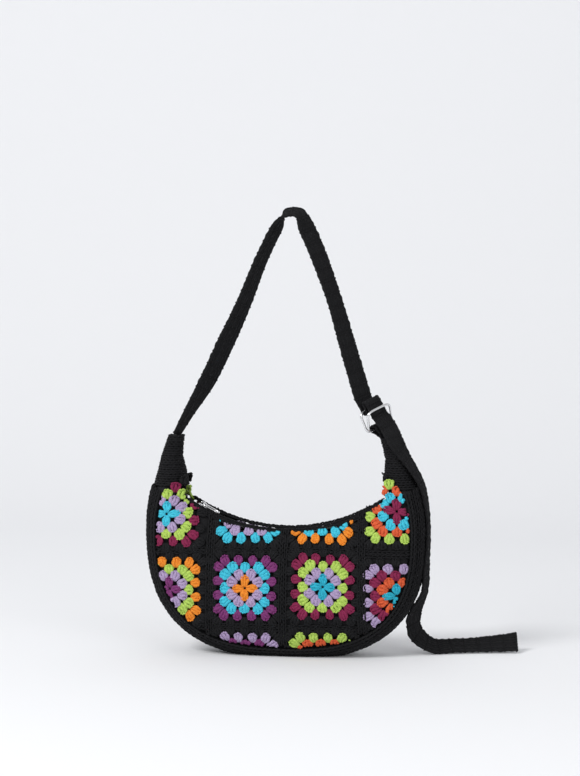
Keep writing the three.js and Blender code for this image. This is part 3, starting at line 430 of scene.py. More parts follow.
def stitches_of_round(work, x, z, level, side):
    """Clusters of three posts and the loops on their heads, for one round of a square."""
    posts, loops, half = clusters(level)
    black = level == BLACK_LEVEL
    posts, loops = kept(posts + [x, z], 1.2, black), kept(loops + [x, z], 1.0, black)
    sides = 8 if side < 0 else 6
    if len(posts):
        rise = 1.2 + 1.7 * np.sin(np.pi * np.clip(POST * 0.84 + 0.1, 0, 1)) ** 0.8
        rise = rise[None] + chance.normal(0, 0.18, (len(posts), 1))
        at, out = on_panel(posts[..., 0], posts[..., 1], rise, side)
        body = np.interp(POST, [0, 0.12, 0.4, 0.75, 0.93, 1], [0.35, 0.68, 0.98, 1.04, 0.8, 0.32])
        size = half * 0.385 * (1 + chance.normal(0, 0.06, (len(posts), 1)))
        work.strands(at, out, body[None] * size, sides=sides, ply=0.2, turns=1.7, flat=0.8)
    if len(loops):
        s = np.linspace(0, 1, 7)
        rise = 3.0 + 0.8 * np.sin(math.pi * s)[None] + chance.normal(0, 0.12, (len(loops), 1))
        at, out = on_panel(loops[..., 0], loops[..., 1], rise, side)
        body = np.array([0.4, 0.8, 1.0, 1.05, 1.0, 0.8, 0.4]) * 0.8
        work.strands(at, out, body[None], sides=sides - 2, ply=0.12, turns=0.8)


# The rounds of yarn, one piece each; on the back they share the one node of their square
for square, (x, z, colours) in SQUARES.items():
    for side, panel in ((-1, "front"), (1, "back")):
        for level, colour in enumerate(colours):
            if colour is None:
                continue
            node = "front_%s_round_%d" % (square, level + 1) if side < 0 else "back_" + square
            work = Work()
            stitches_of_round(work, x, z, level, side)
            if work.points:
                name = "stitches_%s_%s_%d" % (panel, square, level + 1)
                work.place(name, "bag", yarn[colour], [node], "yarn_" + colour)


# Chains of stitches in the black ground
def vees(work, line, ahead, beside, out, step, width, thick):
    """A chain of V shaped stitches: line (n, 3) are its points, with unit frames along it."""
    s = np.linspace(0, 1, 6)
    body = np.array([0.45, 0.9, 1.05, 1.05, 0.85, 0.4]) * thick
    for arm in (-1, 1):
        forward = (s - 0.4) * step * 1.5
        aside = arm * width * (0.12 + 0.88 * np.sin(s * math.pi * 0.62))
        lift = 0.45 * thick * np.sin(math.pi * s)
        path = line[:, None] + ahead[:, None] * forward[None, :, None]
        path = path + beside[:, None] * aside[None, :, None] + out[:, None] * lift[None, :, None]
        size = body[None] * (1 + chance.normal(0, 0.07, (len(line), 1)))
        work.strands(path, np.repeat(out[:, None], 6, axis=1), size, sides=6, ply=0.15, turns=0.9)


CHAIN_WIDTH, CHAIN_THICK, PANEL_STEP, MOUTH_STEP = 1.5, 0.85, 4.6, 4.4


def panel_chain(work, start, end, side, lift, thick=CHAIN_THICK):
    """A chain of stitches straight across a panel, from (x, z) to (x, z)."""
    start, end = np.array(start, float), np.array(end, float)
    count = max(2, int(np.linalg.norm(end - start) / PANEL_STEP))
    flat = start + np.outer((np.arange(count) + 0.5) / count, end - start)
    flat = flat + chance.normal(0, 0.15, flat.shape)
    flat = flat[room_on_panel(flat[:, 0], flat[:, 1]) > 1.2]
    if not len(flat):
        return
    along = unit(end - start)
    at, out = on_panel(flat[:, 0], flat[:, 1], lift, side)
    further, _ = on_panel(flat[:, 0] + along[0], flat[:, 1] + along[1], lift, side)
    ahead = unit(further - at)
    vees(work, at, ahead, np.cross(out, ahead), out, PANEL_STEP, CHAIN_WIDTH, thick)


RIM_LIFT, CORD_BELOW, CORD_RADIUS = 2.7, 0.9, 1.15


def along_mouth(length, away):
    """Points beside the mouth at lengths from its lowest point: round the arc, then up."""
    radius, wall = MOUTH_RADIUS + away, MOUTH_HALF_WIDTH + away
    corner = math.asin(wall / radius)
    beyond = np.maximum(0, np.abs(length) - corner * radius)
    angle = np.clip(length / radius, -corner, corner)
    return radius * np.sin(angle), MOUTH_CENTRE - radius * np.cos(angle) + beyond


def mouth_chain(work, side, away, start, end):
    """A chain of stitches over a round cord along the mouth, between lengths from its lowest point."""
    count = int((end - start) / MOUTH_STEP)
    length = start + (end - start) * (np.arange(count) + 0.5) / count
    x, z = along_mouth(length, away)
    inside = (read(rim_grid, x, z) > SEAM_INSET + 1) & (z < PANEL_TOP - 1)
    x, z, length = x[inside], z[inside], length[inside]
    at, out = on_panel(x, z, RIM_LIFT + chance.normal(0, 0.1, len(x)), side)
    further, _ = on_panel(*along_mouth(length + 0.5, away), np.full(len(x), RIM_LIFT), side)
    ahead = unit(further - at)
    vees(work, at, ahead, np.cross(out, ahead), out, MOUTH_STEP, CHAIN_WIDTH, CHAIN_THICK)
    cord = np.full((1, len(at)), CORD_RADIUS)
    work.strands((at - CORD_BELOW * out)[None], out[None], cord, sides=8, ply=0)


def nearest_square(x, z):
    """Distance from the nearest square's middle, measured as a square."""
    return np.min([np.maximum(abs(x - sx), abs(z - sz)) for sx, sz, _ in SQUARES.values()], axis=0)


# The ground sheet under the black yarn: its cells, faces, and where it ends
CELL, SHEET_TOP, SHEET_BOTTOM, SHEET_EDGE, SQUARE_HALF = 2.0, 1.5, 0.5, 0.6, 31.5
PANEL_END, RIDGE_LIFT, SEAM_LIFT, BASE_LIFT, RIDGE_HALF, SEAM_HALF = 150, 3.6, 2.7, 2.6, 2.3, 1.9
# Chains along the mouth: how far from it, and their reach to both sides
RIM_AWAY, RIM_REACH, SHOULDER_AWAY, SHOULDER_START, SHOULDER_END = 1.4, 108, 4.4, 54, 88
BASE_ROWS, BASE_TOP, BASE_STEP, BASE_START = 6, 26, 4.4, 81


def black_panel(side):
    """The black of one panel: sheet, borders of the squares, joins, rim and the rows below."""
    work = Work()
    across, up = np.arange(-PANEL_END, PANEL_END + 0.1, CELL), np.arange(-4, 180.1, CELL)
    x, z = np.meshgrid(across, up, indexing="ij")
    top, _ = on_panel(x, z, np.full(x.shape, SHEET_TOP), side)
    bottom, _ = on_panel(x, z, np.full(x.shape, SHEET_BOTTOM), side)
    mx, mz = x[:-1, :-1] + CELL / 2, z[:-1, :-1] + CELL / 2
    mask = (room_on_panel(mx, mz) > SHEET_EDGE) & (nearest_square(mx, mz) > SQUARE_HALF) & (mz < PANEL_TOP)
    if side < 0:
        work.shell(top[:, ::-1], bottom[:, ::-1], mask[:, ::-1])
    else:
        work.shell(top, bottom, mask)
    for sx, sz, _ in SQUARES.values():
        stitches_of_round(work, sx, sz, BLACK_LEVEL, side)
    for column in COLUMN_SEAMS:
        for x in (column - RIDGE_HALF, column + RIDGE_HALF):
            panel_chain(work, (x, 0), (x, PANEL_TOP), side, RIDGE_LIFT)
    for row in ROW_SEAMS:
        for z in (row - SEAM_HALF, row + SEAM_HALF):
            panel_chain(work, (-PANEL_END, z), (PANEL_END, z), side, SEAM_LIFT, thick=0.8)
    mouth_chain(work, side, RIM_AWAY, -RIM_REACH, RIM_REACH)
    for start, end in ((-SHOULDER_END, -SHOULDER_START), (SHOULDER_START, SHOULDER_END)):
        mouth_chain(work, side, SHOULDER_AWAY, start, end)
    for k in range(BASE_ROWS):
        z = BASE_TOP - BASE_STEP * k
        for end in (-1, 1):
            panel_chain(work, (end * PANEL_END, z), (end * BASE_START, z), side, BASE_LIFT)
    return work


for side, panel in ((-1, "front"), (1, "back")):
    black_panel(side).place_black("crochet_" + panel, panel + "_crochet")


# Edge band: sections across the rim, from the front seam round to the back seam
BAND_REACH, BAND_CELLS, BAND_CHAINS, BAND_STEP = 11.4, 32, 11, 5.0


def band_sections():
    rows = []
    for i in range(OUTLINE_STEPS + 1):
        before, after = measured[i], measured[i + 2]
        along = unit(after - before)
        inward = np.array([-along[1], along[0]])
        seam = outline[i] + inward * SEAM_INSET
        width = SEAM_INSET + to_mouth(seam[0], seam[1])
        d = BAND_REACH * (1 - np.cos(np.linspace(0, math.pi / 2, 24)))
        y = half_depth(d / width, width)
        d, y = np.concatenate([d[:0:-1], d]), np.concatenate([-y[:0:-1], y])
        length = np.concatenate([[0], np.cumsum(np.hypot(np.diff(d), np.diff(y)))])
        even = np.linspace(0, length[-1], BAND_CELLS + 1)
        d, y = np.interp(even, length, d), np.interp(even, length, y)
        at = outline[i] + d[:, None] * inward
        rows.append(np.stack([at[:, 0], y, at[:, 1]], -1))
    return np.array(rows)


band = band_sections()
band_along = unit(np.gradient(band, axis=0))
band_across = unit(np.gradient(band, axis=1))
band_out = unit(np.cross(band_across, band_along))
rim_length = lengths_along(band[:, BAND_CELLS // 2])


def on_band(length, across):
    """Point and frame on the band, at a length along the rim and a share across it, -1 to 1."""
    i = np.clip(np.interp(length, rim_length, np.arange(OUTLINE_STEPS + 1)), 0, OUTLINE_STEPS - 0.001)
    j = np.clip((across + 1) * BAND_CELLS / 2, 0, BAND_CELLS - 0.001)
    a, b = i.astype(int), j.astype(int)
    f, g = (i - a)[:, None], (j - b)[:, None]
    found = []
    for grid in (band, band_along, band_across, band_out):
        near = grid[a, b] * (1 - g) + grid[a, b + 1] * g
        found.append(near * (1 - f) + (grid[a + 1, b] * (1 - g) + grid[a + 1, b + 1] * g) * f)
    return found


def edge_band():
    """A sheet round the rim with chains of stitches on it, the outer two raised as ridges."""
    work = Work()
    work.shell(band + band_out * 1.4, band + band_out * 0.4, np.ones((OUTLINE_STEPS, BAND_CELLS), bool))
    for across in np.linspace(-0.94, 0.94, BAND_CHAINS):
        seam = abs(across) > 0.9
        count = int(rim_length[-1] / BAND_STEP)
        length = (np.arange(count) + 0.5) / count * rim_length[-1] + chance.normal(0, 0.2, count)
        at, along, beside, out = on_band(length, np.full(count, across))
        lift = 4.0 if seam else 2.7
        at = at + out * (lift + chance.normal(0, 0.12, (count, 1)))
        vees(work, at, along, beside, out, BAND_STEP, 2.0, 1.15 if seam else 1.0)
    return work


edge_band().place_black("crochet_edge_band", "edge_band")


# Sleeves at the two horns, as rows of share of the height, shift inwards, half width and half depth
SLEEVE_ROWS = np.array([
    [0, 0, 17.3, 21],
    [0.22, 0.6, 14.6, 17.5],
    [0.58, 0.6, 10, 12.5],
    [0.85, 3.4, 8, 9.5],
    [1, 5.4, 7.2, 8.6],
])
SLEEVE_TOP, SLEEVE_MIDDLE, RIGHT_LEAN = 228, 121.5, 9
RIB_STEP, RIB_WIDTH, RIB_THICK, SLEEVE_RIBS = 4.6, 1.7, 1.1, 11


def sleeve_size(share):
    return [np.interp(share, SLEEVE_ROWS[:, 0], SLEEVE_ROWS[:, k]) for k in (1, 2, 3)]


def on_sleeve(side, share, angle, lift):
    shift, wide, deep = sleeve_size(share)
    lean = RIGHT_LEAN if side > 0 else 0
    x = side * (SLEEVE_MIDDLE - shift - lean * share) + (wide + lift) * np.cos(angle)
    return np.stack([x, (deep + lift) * np.sin(angle), PANEL_TOP + (SLEEVE_TOP - PANEL_TOP) * share], -1)


def sleeve(side):
    """A core with rings of stitches round it."""
    work = Work()
    around = np.linspace(0, 2 * math.pi, 29)[:-1]
    share, angle = np.meshgrid(np.linspace(0.01, 1, 30), around, indexing="ij")
    core = on_sleeve(side, share, angle, -1.2)
    work.tube(core, (core[0].mean(axis=0), core[-1].mean(axis=0)))
    for row in np.linspace(0.045, 0.965, SLEEVE_RIBS):
        _, wide, deep = sleeve_size(row)
        count = int(2 * math.pi * math.sqrt((wide**2 + deep**2) / 2) / RIB_STEP)
        angle = np.linspace(0, 2 * math.pi, count + 1)[:-1] + chance.uniform(0, 1)
        lift = 0.1 + chance.normal(0, 0.12, count)
        at = on_sleeve(side, np.full(count, row), angle, lift)
        ahead = unit(on_sleeve(side, np.full(count, row), angle + 0.02, lift) - at)
        up = unit(on_sleeve(side, np.full(count, row + 0.02), angle, lift) - at)
        vees(work, at, ahead, up, np.cross(ahead, up), RIB_STEP, RIB_WIDTH, RIB_THICK)
    return work


sleeve(-1).place_black("crochet_sleeve_left", "sleeve_left")
sleeve(1).place_black("crochet_sleeve_right", "sleeve_right")


# Strap: the same stations as the frame's solid, with posts that run along it row by row
STRAP_WIDTH, IN_RINGS, STRAP_THICK, APEX, APEX_RADIUS = 25, 22, 3, (9, 0, 461), 11
RING_WIRE, RING_WIDE, RING_LONG, RING_PLAY, BAR_DOWN = 2.6, 31, 21, 1.1, 18
TAIL_REACH = 239
RING_PLACE = np.array([90, 0, 256])
RING_DOWN = np.array([0.45, 0, -0.893]) / math.hypot(0.45, 0.893)
RING_TURN = math.radians(42)
FLAT_ACROSS, FLAT_FRONT = np.array([-RING_DOWN[2], 0, RING_DOWN[0]]), np.array([0, -1.0, 0])
RING_ACROSS = FLAT_ACROSS * math.cos(RING_TURN) - FLAT_FRONT * math.sin(RING_TURN)
RING_FRONT = FLAT_FRONT * math.cos(RING_TURN) + FLAT_ACROSS * math.sin(RING_TURN)


def at_rings(down, front, across=0):
    """A point in the rings' own directions: down along the strap, to the front, and across."""
    return RING_PLACE + down * RING_DOWN + across * RING_ACROSS + front * RING_FRONT


WIRE, HALF_STRAP = RING_WIRE / 2, STRAP_THICK / 2
BAR_SPREAD = WIRE + 0.4
WRAP = WIRE + RING_PLAY + HALF_STRAP
UPPER_DOWN = BAR_DOWN - math.sqrt(RING_LONG**2 - BAR_SPREAD**2)
FOLD_RADIUS = HALF_STRAP + 1.1
TAIL_FRONT = WRAP + 2 * FOLD_RADIUS
LOWER_FRONT = TAIL_FRONT + HALF_STRAP + RING_PLAY + WIRE
LEFT_TOP = np.array([-(SLEEVE_MIDDLE - SLEEVE_ROWS[-1, 1]), 0, SLEEVE_TOP + 0.4])
RIGHT_TOP = np.array([SLEEVE_MIDDLE - SLEEVE_ROWS[-1, 1] - RIGHT_LEAN, 0, SLEEVE_TOP + 0.4])

# The tail beside the body: height of the rim it hangs off, how far out, y, z and direction across
HANG = 95
TAIL_BESIDE = (
    (180, 1.5, -3, 180, (0.1, 1, 0)),
    (150, 0.3, 0, 150, (0, 1, 0)),
    (120, 0.3, 0, 120, (0, 1, 0)),
    (HANG, 0.4, 1, 95, (0.1, 1, 0)),
    (HANG, -2, 4, 68, (0.15, 1, 0)),
    (HANG, -13, 8, 42, (0.55, 0.8, 0.1)),
    (HANG, -12, 15, 23, (0.4, 0.75, 0.5)),
)
# The tail on the floor: share of its length, place towards the back, lean in degrees, width
TAIL_ON_FLOOR = (
    (0.06, 24, 30, STRAP_WIDTH),
    (0.28, 32, 26, STRAP_WIDTH),
    (0.5, 37, 28, STRAP_WIDTH),
    (0.75, 41, 36, STRAP_WIDTH),
    (1, 43, 48, 26),
)


def off_rim(height, out):
    """How far out the strap's middle lies beside the edge band, at a height."""
    s = (height - WIDEST) / (SHOULDER_RISE if height > WIDEST else BELLY_DROP)
    power = 2 if height > WIDEST else BELLY_POWER
    return HALF_WIDTH * (1 - abs(s) ** power) ** (1 / power) + CROCHET + 0.4 + HALF_STRAP + out


def strap_stations():
    """The middle, the direction across and the width at each station of the leg, rings and tail."""
    top = np.array(APEX)
    rise = top - [APEX_RADIUS, 0, APEX_RADIUS] - LEFT_TOP
    left = LEFT_TOP + np.outer([0, 0.1, 0.26, 0.45, 0.62, 0.82, 0.97], rise)
    left += np.outer([0, 0.8, 3, 2, 0.5, -3.5, -4], [1, 0, -0.5])
    high = top + [APEX_RADIUS, 0, -APEX_RADIUS]
    right = high + np.outer([0.03, 0.2, 0.45, 0.75, 1], at_rings(UPPER_DOWN - 14, -WRAP) - high)
    right += np.outer([0, 2.5, 3.5, 1.5, 0], [1, 0, 0.4])
    turns = [
        (0.5, 0.85, 0.2), (0.6, 0.8, 0.3), (0.6, 0.8, -0.3), (0.62, 0.72, -0.3), (0.5, 0.85, -0.25),
        (0.38, 0.92, -0.2), (0.35, 0.93, -0.2), (-0.1, 0.93, 0.36), (0.1, 0.93, 0.36), (0.6, 0.76, 0.25),
        (0.6, 0.78, 0.2), (0.52, 0.84, 0.15), (0.6, 0.76, 0.25), RING_ACROSS,
    ]
    points = [*left, top + [-9, 0, -1], top + [5, 0, -1], *right]
    wide = [16, 21] + [STRAP_WIDTH] * 11 + [24]
    leg = list(zip(points, turns, wide))
    ring = [(at_rings(UPPER_DOWN - 5, -WRAP), RING_ACROSS, IN_RINGS)]
    for angle in np.linspace(0, math.pi, 7):
        bend = at_rings(UPPER_DOWN + WRAP * math.sin(angle), -WRAP * math.cos(angle))
        ring.append((bend, RING_ACROSS, IN_RINGS))
    for angle in np.linspace(0, math.pi, 6):
        front = WRAP + FOLD_RADIUS * (1 - math.cos(angle))
        fold = at_rings(UPPER_DOWN - 6 - FOLD_RADIUS * math.sin(angle), front)
        ring.append((fold, RING_ACROSS, IN_RINGS))
    tail = [
        (at_rings(6, TAIL_FRONT), RING_ACROSS, IN_RINGS),
        (at_rings(22, TAIL_FRONT + 2, 2), RING_ACROSS, 23),
        (RIGHT_TOP + [10, -12, -4.4], (0.6, 0.75, 0.2), 23),
        (RIGHT_TOP + [19.5, -8, -20.4], (0.3, 0.93, 0.1), 24),
    ]
    for height, out, y, z, turn in TAIL_BESIDE:
        tail.append(((off_rim(height, out), y, z), turn, STRAP_WIDTH))
    start = off_rim(HANG, 0)
    for share, back, lean, wide in TAIL_ON_FLOOR:
        lean = math.radians(lean)
        lift = wide / 2 * math.sin(lean) + HALF_STRAP * math.cos(lean) + 0.5
        x = start + (TAIL_REACH - start) * share
        tail.append(((x, back, lift), (0, math.cos(lean), math.sin(lean)), wide))
    return leg, ring, tail


def smooth_line(points, fine):
    """A centripetal curve through points, with fine steps in each span."""
    p = np.array([np.asarray(q, float) for q in points])
    p = np.vstack([2 * p[0] - p[1], p, 2 * p[-1] - p[-2]])
    found, share = [], np.linspace(0, 1, fine, endpoint=False)[:, None]
    for k in range(1, len(p) - 2):
        d0, d1, d2 = (np.linalg.norm(p[k + i] - p[k + i - 1]) ** 0.5 for i in (0, 1, 2))
        t1 = ((p[k] - p[k - 1]) / d0 - (p[k + 1] - p[k - 1]) / (d0 + d1) + (p[k + 1] - p[k]) / d1) * d1
        t2 = ((p[k + 1] - p[k]) / d1 - (p[k + 2] - p[k]) / (d1 + d2) + (p[k + 2] - p[k + 1]) / d2) * d1
        c2, c3 = -3 * p[k] + 3 * p[k + 1] - 2 * t1 - t2, 2 * p[k] - 2 * p[k + 1] + t1 + t2
        found.append(p[k] + share * t1 + share**2 * c2 + share**3 * c3)
    found.append(p[-2][None])
    return np.vstack(found)


def read_line(at, places, values):
    """Vectors (n, 3) read at places along a line."""
    return np.stack([np.interp(at, places, values[:, k]) for k in range(3)], -1)


def band_frames(stations, fine):
    """A fine line through stations, with the direction across and the width at each point."""
    line = smooth_line([s[0] for s in stations], fine)
    place = np.arange(len(line)) / fine
    turn = np.array([unit(np.asarray(s[1], float)) for s in stations])
    turn = read_line(place, np.arange(len(turn)), turn)
    wide = np.interp(place, np.arange(len(stations)), [s[2] for s in stations])
    return line, turn, wide


class Band:
    """A flat band along a line, read at a length along it and a share across it."""

    def __init__(self, line, turn, wide, step=1.5):
        length = lengths_along(line)
        self.length = length[-1]
        self.at = np.arange(0, self.length, step)
        self.line = read_line(self.at, length, line)
        self.wide = np.interp(self.at, length, wide)
        along = unit(np.gradient(self.line, axis=0))
        turn = read_line(self.at, length, turn)
        self.side = unit(turn - along * (turn * along).sum(1, keepdims=True))
        self.face = np.cross(along, self.side)

    def read(self, length):
        """The middle, the direction across, the direction out and the width."""
        found = [read_line(length, self.at, grid) for grid in (self.line, self.side, self.face)]
        return found + [np.interp(length, self.at, self.wide)]


# Shape of a post of the band, thin at both ends, and of the loops between its rows
BAND_POST, BAND_LOOP = np.linspace(0, 1, 10), np.linspace(-0.5, 0.5, 7)
POST_BODY = np.interp(BAND_POST, [0, 0.08, 0.3, 0.7, 0.92, 1], [0.5, 0.85, 1, 1.04, 0.85, 0.5])
LOOP_BODY = np.array([0.5, 0.85, 1, 1.05, 1, 0.85, 0.5]) * 0.85
SELVEDGE, POST_END, LOOP_END = 1.3, 0.3, 1.3


def band_core(work, band, thick):
    """The flat core under the yarn."""
    middle, side, face, wide = band.read(np.arange(0.6, band.length - 0.6, 2.5))
    ring = []
    for u, v in ((-0.43, -0.3), (0.43, -0.3), (0.43, 0.3), (-0.43, 0.3)):
        ring.append(middle + side * (u * wide)[:, None] + face * (v * thick * 2))
    work.tube(np.stack(ring, 1), (middle[0], middle[-1]))


def band_posts(work, band, rows, posts, scallop, thick):
    """Rows of posts that run along the band."""
    paths, outs, sizes = [], [], []
    for k in range(rows):
        low, high = band.length * k / rows, band.length * (k + 1) / rows
        for j in range(posts):
            share = (j + 0.5) / posts * 2 - 1
            length = low + (high - low) * (BAND_POST * 1.04 - 0.02) + 0.5 * abs(share) - 0.25
            middle, side, face, wide = band.read(np.clip(length, POST_END, band.length - POST_END))
            bulge = 1 + scallop / 12.5 * (np.sin(math.pi * BAND_POST) - 0.9)
            wander = 0.25 * np.sin(BAND_POST * 5 + chance.uniform(0, 6))
            u = share * (wide / 2 - SELVEDGE) * bulge + wander
            lift = 0.25 * math.sin(j * 2.4) + chance.normal(0, 0.08)
            paths.append(middle + side * u[:, None] + face * lift)
            outs.append(face)
            sizes.append(POST_BODY * (wide / posts / 2) * 1.02)
    work.strands(np.array(paths), np.array(outs), np.array(sizes), ply=0.17, turns=2.1, flat=thick / 1.75)


def band_loops(work, band, rows, posts, thick):
    """Chains of loops between the rows, on both faces of the band."""
    paths, outs = [], []
    for k in range(rows + 1):
        at = min(max(band.length * k / rows, LOOP_END), band.length - LOOP_END)
        for j in range(posts):
            share = (j + 0.5) / posts * 2 - 1
            for away in (-1, 1):
                middle, side, face, wide = band.read(at + away * 0.2 + 0.9 * np.cos(BAND_LOOP * 5))
                u = (share + BAND_LOOP * 2.3 / posts) * (wide / 2 - 1.4)
                paths.append(middle + side * u[:, None] + face * (away * thick * 0.62))
                outs.append(face * away)
    work.strands(np.array(paths), np.array(outs), LOOP_BODY[None], sides=6, ply=0.12, turns=0.8)


def band_work(band, row, posts, scallop, thick):
    """A crocheted band: row is the length of its rows, scallop how far they bulge."""
    work = Work()
    rows = round(band.length / row)
    band_core(work, band, thick)
    band_posts(work, band, rows, posts, scallop, thick)
    band_loops(work, band, rows, posts, thick)
    return work


fine_steps = (12, 4, 12)
parts = [band_frames(part, fine) for part, fine in zip(strap_stations(), fine_steps)]
strap = Band(*(np.concatenate([part[k] for part in parts]) for k in range(3)))
band_work(strap, row=14, posts=7, scallop=1.1, thick=1.5).place_black("crochet_strap", "strap")


# The tab from the right sleeve round both ring bars
def tab_stations():
    """Up from the sleeve in front of the bars, over them and down behind."""
    half = BAR_SPREAD + WIRE + 0.6 + HALF_STRAP
    places = []
    for front in (half, -half):
        bend = at_rings(BAR_DOWN, front)
        end = np.array([RIGHT_TOP[0], -np.sign(front) * (HALF_STRAP + 0.2), RIGHT_TOP[2]])
        leg = [
            (bend, RING_ACROSS, IN_RINGS),
            (bend + (end - bend) * 0.3, RING_ACROSS, 18),
            (bend + (end - bend) * 0.65, RING_ACROSS + [1, 0, 0], 15),
            (end, (1, 0, 0), 15),
        ]
        if front > 0:
            places += leg[::-1]
            for k in range(1, 5):
                angle = math.pi * k / 5
                down = BAR_DOWN - (WIRE + 0.4 + HALF_STRAP) * math.sin(angle)
                places.append((at_rings(down, half * math.cos(angle)), RING_ACROSS, IN_RINGS))
        else:
            places += leg
    return places


tab = Band(*band_frames(tab_stations(), 8), step=0.8)
band_work(tab, row=9, posts=6, scallop=0.4, thick=1.35).place_black("crochet_ring_tab", "ring_tab")


# Wire rings, slider and puller
LOOP_STEPS = 7


def wire_loop(work, points, wire):
    """A closed loop of round wire through points."""
    points = [np.asarray(p, float) for p in points]
    path = smooth_line([points[-1], *points, points[0], points[1]], LOOP_STEPS)
    path = path[LOOP_STEPS : LOOP_STEPS * (len(points) + 1)]
    up = np.cross(points[3] - points[0], points[6] - points[0])
    outs = np.broadcast_to(unit(up), path.shape)
    work.strands(path[None], outs[None], np.full((1, len(path)), wire / 2), sides=16, ply=0, closed=True)


def ring_points(bar_front, arc_down, arc_front):
    """A ring with a straight bar in the tab and a flattened arc that ends at arc_down, arc_front."""
    bar = at_rings(BAR_DOWN, bar_front)
    rise = at_rings(arc_down, arc_front) - bar
    length = np.linalg.norm(rise)
    rise = rise / length
    half, corner, straight = RING_WIDE / 2, 2.5, length * 0.4
    flat = [(-half + corner, 0), (0, 0), (half - corner, 0), (half, corner), (half, straight)]
    for k in range(1, 8):
        c, s = math.cos(math.pi * k / 8), math.sin(math.pi * k / 8)
        flat.append((half * math.copysign(abs(c) ** 0.4, c), straight + (length - straight) * s**0.4))
    flat += [(-half, straight), (-half, corner)]
    return [bar + RING_ACROSS * u + rise * v for u, v in flat]


steel = paint("steel", [0.8, 0.8, 0.81], 0.22, metal=1.0, bump=0.00002, scale=300)
LOWER_DOWN = BAR_DOWN - math.sqrt(RING_LONG**2 - (LOWER_FRONT - BAR_SPREAD) ** 2)
for name, ring in (
    ("upper", (-BAR_SPREAD, UPPER_DOWN, 0)),
    ("lower", (BAR_SPREAD, LOWER_DOWN, LOWER_FRONT)),
):
    work = Work()
    wire_loop(work, ring_points(*ring), RING_WIRE)
    work.place("wire_ring_" + name, name + "_ring", steel, ["ring_" + name], "steel")

# Zip, bent along the hollow top edge
TAPE_RADIUS, ZIP_HALF_ANGLE = MOUTH_RADIUS + 3.2, math.radians(30.5)
ZIP_HALF_LENGTH = ZIP_HALF_ANGLE * TAPE_RADIUS
TAPE_STEPS, TAPE_SHARES, TAPE_THICK, TAPE_START, TAPE_FIT = 90, 7, 0.9, 1.1, 0.3
TOOTH_PITCH, TOOTH_START, TOOTH_LONG, TOOTH_RADIUS = 2.5, 0.5, 2.6, 0.92
THREAD_PITCH, THREAD_LONG, THREAD_AT, THREAD_RADIUS = 3.4, 2.2, 5.6, 0.33


def on_zip(along, across, lift, middle=0.0):
    """Points on the zip at a length along it from an angle, and the direction out of its tape."""
    angle = middle + along / TAPE_RADIUS
    radius = TAPE_RADIUS - lift
    at = np.stack([radius * np.sin(angle), across + 0 * radius, MOUTH_CENTRE - radius * np.cos(angle)], -1)
    return at, np.stack([-np.sin(angle), 0 * angle, np.cos(angle)], -1)


def zip_tape(side):
    """Half the tape, from beside the teeth out to the panel."""
    tape = Work()
    along = np.linspace(-ZIP_HALF_LENGTH, ZIP_HALF_LENGTH, TAPE_STEPS)
    seat, _ = on_zip(along, 0 * along, 0 * along)
    reach = read(depth_grid, seat[:, 0], seat[:, 2])[:, None] - TAPE_FIT - TAPE_START
    along = along[:, None]
    share = np.linspace(0, 1, TAPE_SHARES)[None]
    across = side * (TAPE_START + reach * share)
    weave = 0.12 * np.sin(share * 40) + 0.35 * np.sin(along * 0.11 + 1) * share**2
    top, _ = on_zip(along + 0 * share, across, weave)
    low, _ = on_zip(along + 0 * share, across, weave - TAPE_THICK)
    if side < 0:
        top, low = top[:, ::-1], low[:, ::-1]
    tape.shell(top, low, np.ones((TAPE_STEPS - 1, TAPE_SHARES - 1), bool))
    return tape


def zip_teeth(side):
    """Teeth of one tape, half a pitch off those of the other."""
    teeth = Work()
    count = int(2 * ZIP_HALF_LENGTH / TOOTH_PITCH) - 3
    middle = (np.arange(count) - count / 2 + (0.5 if side > 0 else 0)) * TOOTH_PITCH
    s = np.linspace(0, 1, 5)
    across = side * (TOOTH_START + TOOTH_LONG * s)
    path, out = on_zip(middle[:, None] + 0 * s, across, np.full((count, 5), 1.0))
    body = np.array([[0.55, 0.85, 0.8, 0.95, 0.7]]) * TOOTH_RADIUS
    teeth.strands(path, np.broadcast_to(out, path.shape), body, sides=8, ply=0, flat=0.85)
    return teeth


def zip_stitching(side):
    """The dark thread that holds the tape, a row of short stitches."""
    thread = Work()
    middle = np.arange(-ZIP_HALF_LENGTH + 3, ZIP_HALF_LENGTH - 3, THREAD_PITCH)
    s = np.linspace(-0.5, 0.5, 5)
    across = side * np.full((len(middle), 5), THREAD_AT)
    path, out = on_zip(middle[:, None] + s * THREAD_LONG, across, 0.42 - 1.6 * s[None] ** 2)
    body = np.array([[0.5, 0.9, 1, 0.9, 0.5]]) * THREAD_RADIUS
    thread.strands(path, np.broadcast_to(out, path.shape), body, sides=6, ply=0)
    return thread


zip_cloth = paint("zip_tape", written("161618"), 0.8, fibre=0.3, bump=0.0002, scale=1800)
zip_metal = paint("zip_teeth", written("857c69"), 0.42, metal=0.8, bump=0.00003, scale=400)
thread_paint = paint("thread", written("333130"), 0.75, fibre=0.15)
for side, name in ((-1, "front"), (1, "back")):
    zip_tape(side).place("tape_" + name, "bag", zip_cloth, ["zip_tape_" + name], "zip_tape")
    zip_teeth(side).place("teeth_" + name, "bag", zip_metal, ["zip_teeth_" + name], "zip_teeth")
    zip_stitching(side).place("zip_stitching_" + name, "bag", thread_paint, (), "zip_tape")

# The slider: two plates with a post between the teeth, and the bridge that holds the puller
SLIDER_IN = 6.5
SLIDER_ANGLE = -ZIP_HALF_ANGLE + SLIDER_IN / TAPE_RADIUS
PLATE_LOW, PLATE_THICK, UNDER = 2.3, 1.4, -1.4
POST_HALF_LONG, POST_HALF_WIDE, BRIDGE_RISE, BRIDGE_RADIUS = 2.7, 0.35, 3.5, 0.6
PULLER_WIRE, PULLER_LONG, PULLER_HALF, PULLER_PLAY = 1.7, 19, 4.5, 0.45


